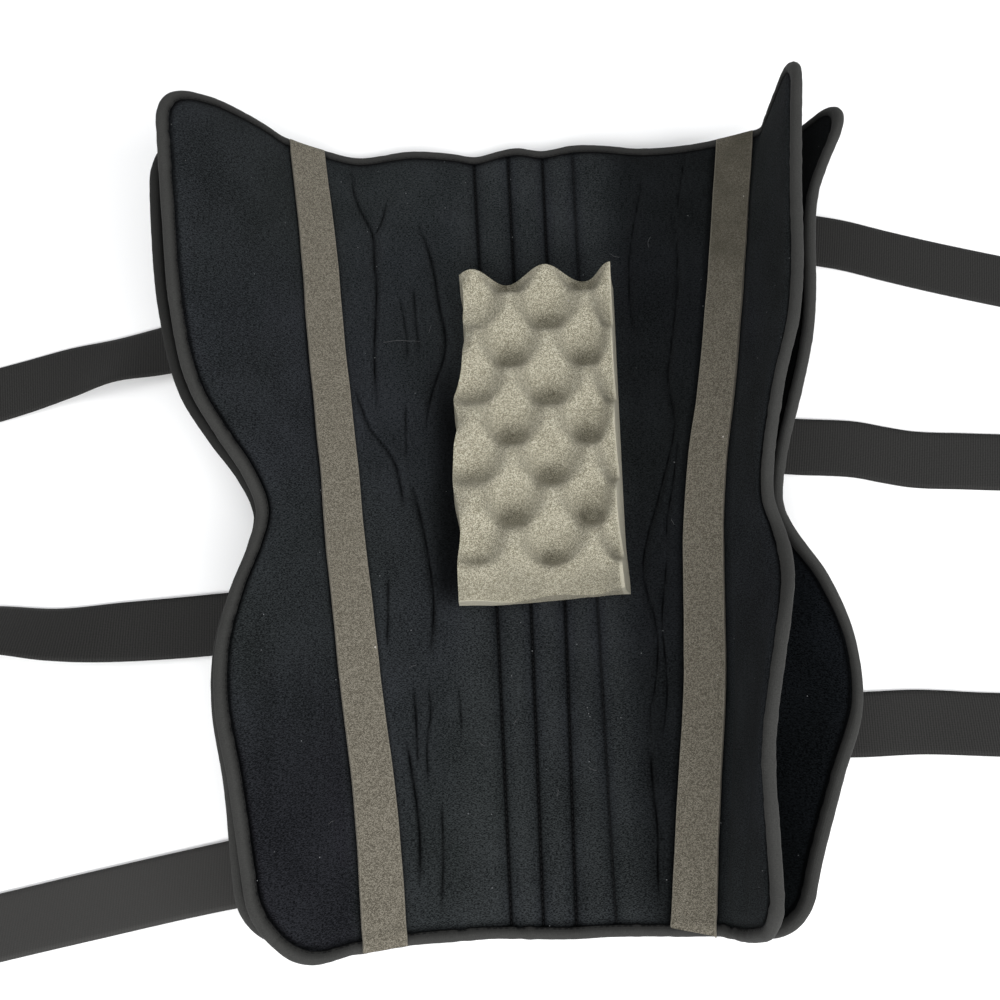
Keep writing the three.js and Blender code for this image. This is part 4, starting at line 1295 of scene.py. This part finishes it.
def shapePad(points):
    (left, right), (calf, thigh) = pattern["padSides"], pattern["padEnds"]
    x, y = points[:, 0] + (left + right) / 2, points[:, 1] + (calf + thigh) / 2
    z = raisePits(points, x, y)
    x = x + pad["spare"] * between(x, *pad["spareFrom"])
    fromLeft = 1 - smoothStep(x, left, left + pad["leftCut"])
    x = x + readSmooth(padLeftCut, "from", "stray", thigh - y) * fromLeft
    toRight = smoothStep(x, right - pad["sideReach"], right)
    toCalf = 1 - smoothStep(y, calf, calf + pad["calfReach"])
    calfFlare, footFlare = pad["rightFlare"]
    x = x + toRight * (calfFlare * toCalf + footFlare * (1 - np.clip(z / pad["flareTop"], 0, 1)) ** 2)
    y = y + pad["calfSlant"] * toCalf * smoothStep(x, left + pad["calfSlantFrom"], right)
    slant, start = pad["thighSlant"]
    slanted = slant * smoothStep(x, *pad["thighSlantFrom"]) + start
    y = y + slanted * smoothStep(y, thigh - pad["thighReach"], thigh)
    z = z * (1 - pad["calfThin"] * (1 - smoothStep(y, calf, calf + pad["thinReach"])))
    inside = between(y, (calf, calf + pad["leanIn"][0]), (thigh - pad["leanIn"][1], thigh))
    y = y + pad["lean"] * np.maximum(z - pad["base"], 0) * inside
    return x, y, z


def makePad():
    (left, right), (calf, thigh) = pattern["padSides"], pattern["padEnds"]
    columns, rows, layers = pad["cells"]
    owner = emptyOwner("knee_pad")
    mesh = runTree(
        owner, makeEggCrateTree(), Width=float(right - left), Length=float(thigh - calf),
        Base=float(pad["base"]), Bump=float(pad["bump"]),
        Pitch_across=pad["across"], Pitch_along=pad["along"],
        First_column=pad["column"] - (left + right) / 2, First_row=(thigh - calf) / 2 - pad["row"],
        Sharp_across=pad["sharp"][0], Sharp_along=pad["sharp"][1],
        Columns=columns, Rows=rows, Layers=layers, Material=materials["pad"])
    x, y, z = shapePad(readPoints(mesh))
    seat = bendCloth(x, y, pattern["thick"] / 2 + pattern["gap"] + z)
    mesh.vertices.foreach_set("co", (seat * mm).ravel())
    # painted highlight along the cut right side and calf end
    cutSides = np.maximum(smoothStep(x - right, *pad["wornSide"]), 1 - smoothStep(y - calf, *pad["wornCalf"]))
    soiled = pad["soiled"] * (1 - smoothStep(y - calf, *pad["soiledFrom"]))
    dressMesh(mesh, pad["sharpEdge"], worn=pad["worn"] * cutSides, soiled=soiled)
    owner.data = mesh
    settle(owner, "pad_foam", "popliteal_pad")


makePad()
print("egg-crate pad made")


# straps and their tabs

strap = {
    "width": 38, "thick": 1.8, "root": 11, "sewn": 22, "free": 340, "gap": 0.7,
    "columns": 14, "sewnRows": 10, "turnRows": 16, "freeRows": 150, "selvedge": 0.35,
    "tabLength": 50, "tabWidth": 34, "tabThick": 1.2, "tabFromEnd": 2, "tabGap": 0.15, "tabGrid": (18, 26),
    "tabRound": (0.06, 0.04), "tabEdge": 0.12,
    # painted highlight: the left lower strap lies nearer the light at the calf
    "worn": {"left_lower": 0.45},
}
straps = [
    # name, side, station along the leg, heading on the table, then how it strays and rolls on its way
    ("left_upper", -1, 129, -14,
     table("run stray roll", (0, 0, 0), (60, 0, 5), (97, -1.4, 11), (129, -2.5, 20), (160, -1.3, 9),
           (191, -2.6, 3), (260, -5, 0), (340, -6, 0))),
    ("left_middle", -1, -72.5, -2,
     table("run stray roll", (0, 0, 0), (60, 0.5, 1), (92, -1, 4), (130, -2.7, 12), (169, -4.7, 28),
           (207, -1.3, 34), (260, 0, 14), (340, 0, 0))),
    ("left_lower", -1, -209, -11,
     table("run stray roll", (0, 0, 0), (60, 0, 19), (140, -0.6, 22), (220, -2, 22), (280, -2, 8),
           (340, -3, 0))),
    ("right_upper", 1, 194, -15,
     table("run stray roll", (0, 0, 0), (43, 0.3, 0), (75, 2.2, 0), (105, 1.2, 0), (140, 0.6, 0),
           (240, 2, 0), (340, 3, 0))),
    ("right_middle", 1, 38, -5,
     table("run stray roll", (0, 0, 0), (57, 0.4, 0), (93, 1.2, 0), (111, -1, 0), (129, -2.8, 0),
           (165, -1.6, 0), (240, 1, 0), (340, -2, 0))),
    ("right_lower", 1, -138.5, -1,
     table("run stray roll", (0, 0, 0), (93, 0, 4), (130, 1.6, 6), (170, 0, 11), (230, -1, 4), (340, 0, 0))),
]


def strapSurface(sign, station, heading, course, length, across, h):
    length, across, h = np.broadcast_arrays(*(np.asarray(value, float) for value in (length, across, h)))
    y = station + across
    root = sideValue("fold", sign, y) + strap["root"]
    offset = -pattern["leafThick"] / 2 - strap["gap"] - strap["thick"] / 2
    sewn = bendLeaf(sign * (root + strap["sewn"] - np.minimum(length, strap["sewn"])), y, offset - h)
    start = bendLeaf(sign * root, y, np.full_like(y, offset))
    slope = walkArcs(bendArcs(sign * root, y, True)[0], root)[2]
    radius = (start[..., 2] - strap["thick"] / 2) / (1 + np.cos(slope))
    turn = np.pi - slope
    past = np.maximum(length - strap["sewn"], 1e-6)
    x, z, tilt = walkArcs([(1e-6, slope - np.pi), (radius * turn, turn), (strap["free"], 0 * turn)], past)
    roll = np.radians(readSmooth(course, "run", "roll", past))
    fromThighSide = strap["width"] / 2 - across
    angle = math.radians(heading)
    reach = x - np.sin(tilt) * h
    aside = readSmooth(course, "run", "stray", past) + fromThighSide * (1 - np.cos(roll)) + h * np.sin(roll)
    free = np.stack([start[..., 0] + sign * (math.cos(angle) * reach - math.sin(angle) * aside),
                     start[..., 1] + math.sin(angle) * reach + math.cos(angle) * aside,
                     start[..., 2] + z + np.cos(tilt) * h * np.cos(roll) + fromThighSide * np.sin(roll)], -1)
    return np.where((length <= strap["sewn"])[..., None], sewn, free), radius * turn


def makeTab(name, shape, whole):
    columns, rows = strap["tabGrid"]
    u, v = np.meshgrid(np.linspace(-1, 1, columns + 1), np.linspace(-1, 1, rows + 1))
    roundU, roundV = strap["tabRound"]
    u, v = u * np.sqrt(1 - roundU * v**8), v * np.sqrt(1 - roundV * u**8)
    across = u * strap["tabWidth"] / 2
    length = whole - strap["tabFromEnd"] - strap["tabLength"] * (1 - v) / 2
    low = strap["thick"] / 2 + strap["tabGap"]
    edge = np.maximum(np.abs(u), np.abs(v))
    high = low + strap["tabThick"] * np.sqrt(np.clip(1 - edge**10, strap["tabEdge"], 1))
    top, bottom = (strapSurface(*shape, length, across, h)[0] for h in (high, low))
    tab = makeSheet(f"hook_tab_{name}", across, length, top, bottom, "hook")
    settle(tab, "hook_tab", f"strap_{name}_tab")
    return tab


def makeStrap(name, *shape):
    across = np.linspace(-0.5, 0.5, strap["columns"] + 1) * strap["width"]
    turned = strapSurface(*shape, np.zeros_like(across), across, 0)[1]
    sewn, whole = strap["sewn"], strap["sewn"] + strap["free"]
    length = np.stack([np.concatenate([
        np.linspace(0, sewn, strap["sewnRows"] + 1)[:-1],
        np.linspace(sewn, sewn + t, strap["turnRows"] + 1)[:-1],
        np.linspace(sewn + t, whole, strap["freeRows"] + 1)]) for t in turned], 1)
    across = np.repeat(across[None, :], len(length), 0)
    flatness = np.sqrt(np.clip(1 - (np.abs(across) / (strap["width"] / 2 + 0.15)) ** 14, 0, 1))
    thick = strap["thick"] / 2 * (strap["selvedge"] + (1 - strap["selvedge"]) * flatness)
    top, bottom = (strapSurface(*shape, length, across, h)[0] for h in (thick, -thick))
    # painted highlight on the left lower strap
    worn = strap["worn"].get(name, 0)
    piece = makeSheet(f"webbing_{name}", across, length, top, bottom, "webbing", worn=worn)
    settle(piece, "webbing", f"strap_{name}")
    tab = makeTab(name, shape, whole)


for row in straps:
    makeStrap(*row)
print("straps made:", len(straps))


# stitches: short threads set along seam lines by nodes

stitch = {"pitch": 3.3, "length": 2.5, "radius": 0.28, "tapeLift": 0.75, "channelLift": 0.05, "endRows": 3}


def makeStitchTree():
    group, into, out = startGroup(
        "seamStitches", "GeometryNodeTree",
        {"Geometry": "Geometry", "Pitch": 0.003, "Length": 0.0025, "Radius": 0.0003, "Material": "Material"},
        {"Geometry": "Geometry"})
    curve = addNode(group, "GeometryNodeMeshToCurve", {0: into["Geometry"]}).outputs[0]
    spaced = addNode(group, "GeometryNodeResampleCurve", {"Curve": curve, "Length": into["Pitch"]},
                     mode="LENGTH")
    thread = addNode(group, "GeometryNodeMeshUVSphere", {"Segments": 6, "Rings": 5, "Radius": 1})
    half = addMath(group, "MULTIPLY", into["Length"], 0.5)
    size = addNode(group, "ShaderNodeCombineXYZ", {0: into["Radius"], 1: into["Radius"], 2: half})
    tangent = addNode(group, "GeometryNodeInputTangent", {}).outputs[0]
    turn = addNode(group, "FunctionNodeAlignRotationToVector", {"Vector": tangent}, axis="Z")
    place = addNode(group, "GeometryNodeInstanceOnPoints", {
        "Points": spaced.outputs[0], "Instance": thread.outputs["Mesh"], "Rotation": turn.outputs[0],
        "Scale": size.outputs[0]})
    finishTree(group, into, place.outputs[0], out)
    return group


stitchTree = makeStitchTree()


def makeStitches(name, seams, slot):
    points, edges = [], []
    for seam in seams:
        first = len(points)
        points.extend((np.asarray(seam) * mm).tolist())
        edges.extend((first + k, first + k + 1) for k in range(len(seam) - 1))
    owner = emptyOwner(name, points, edges)
    owner.data = runTree(owner, stitchTree, Pitch=stitch["pitch"] * mm, Length=stitch["length"] * mm,
                         Radius=stitch["radius"] * mm, Material=materials["thread"])
    dressMesh(owner.data)
    settle(owner, slot)


linerNormals = surfaceNormals(linerTop)
sewnColumns = np.cumsum((0,) + liner["columns"])[liner["channels"]]
threadLine = (linerTop + linerNormals * stitch["channelLift"])[stitch["endRows"]:-stitch["endRows"]]
makeStitches("channel_stitches", [threadLine[:, column] for column in sewnColumns], "lining")

tapeHeight = heldThickness(tape["stitchIn"], pattern["thick"], liner["pinch"]) + stitch["tapeLift"]
rimSeam = sweepTape(linerPath, True, np.array([[tape["stitchIn"], tapeHeight]]), bendCloth)[:, 0]
makeStitches("liner_tape_stitches", [np.concatenate([rimSeam, rimSeam[:1]])], "binding_tape")
print("stitches made")


# stray fibres on the lining: where on the flat pattern, way they lie, length, bow
fibres = [
    (-82, 108, 3, 28, 1.6), (-62, 118, 70, 6, 0.3), (-135, 150, 40, 4, 0.6), (-72, -105, 25, 5, 0.4),
    (-30, -150, 140, 5, 0.2), (-9, -137, 55, 5, 0.1), (14, -178, 80, 4, 0.3), (35, -165, 150, 5, 0.4),
    (-120, -190, 15, 4, 0.7), (64, 170, 150, 7, 0.9), (88, 178, 75, 9, 1.4), (92, -20, 100, 4, 0.3),
    (-88, -200, 35, 8, 0.2),
]
fibreLook = {"radius": 0.1, "lift": 0.25, "sides": 5, "stations": 13}


def makeFibres():
    flat = np.stack([linerS, linerY], -1).reshape(-1, 2)
    tree = flatTree(flat)
    top, up = linerTop.reshape(-1, 3), linerNormals.reshape(-1, 3)
    ring = np.arange(fibreLook["sides"]) / fibreLook["sides"] * 2 * np.pi
    run = np.linspace(-0.5, 0.5, fibreLook["stations"])
    thin = fibreLook["radius"] * np.sqrt(np.clip(1 - (2 * run) ** 8, 0.1, 1))[:, None, None]
    points, faces = [], []
    for s, y, way, length, bow in fibres:
        heading = math.radians(way)
        offset = bow * np.cos(run * np.pi)
        a = s + length * run * math.cos(heading) - offset * math.sin(heading)
        b = y + length * run * math.sin(heading) + offset * math.cos(heading)
        nearest = [tree.find((u, v, 0))[1] for u, v in zip(a, b)]
        normal = up[nearest]
        rise = ((top[nearest] - bendCloth(*flat[nearest].T, 0)) * normal).sum(-1)
        lifted = rise.max() * 0.5 + rise * 0.5 + fibreLook["lift"]
        middle = bendCloth(a, b, 0) + normal * lifted[:, None]
        side = np.cross(np.gradient(middle, axis=0), normal)
        side = side / np.linalg.norm(side, axis=1, keepdims=True)
        turned = side[:, None] * np.cos(ring)[:, None] + normal[:, None] * np.sin(ring)[:, None]
        tube = middle[:, None] + thin * turned
        first = len(points) * tube[..., 0].size
        tubeSides = flipIfInside(tube, tubeFaces(*tube.shape[:2], False))
        faces.extend([first + k for k in face] for face in tubeSides)
        points.append(tube)
    settle(makePiece("lint_fibres", np.array(points), faces, "fibre"), "lining")


makeFibres()
print("fibres made:", len(fibres))
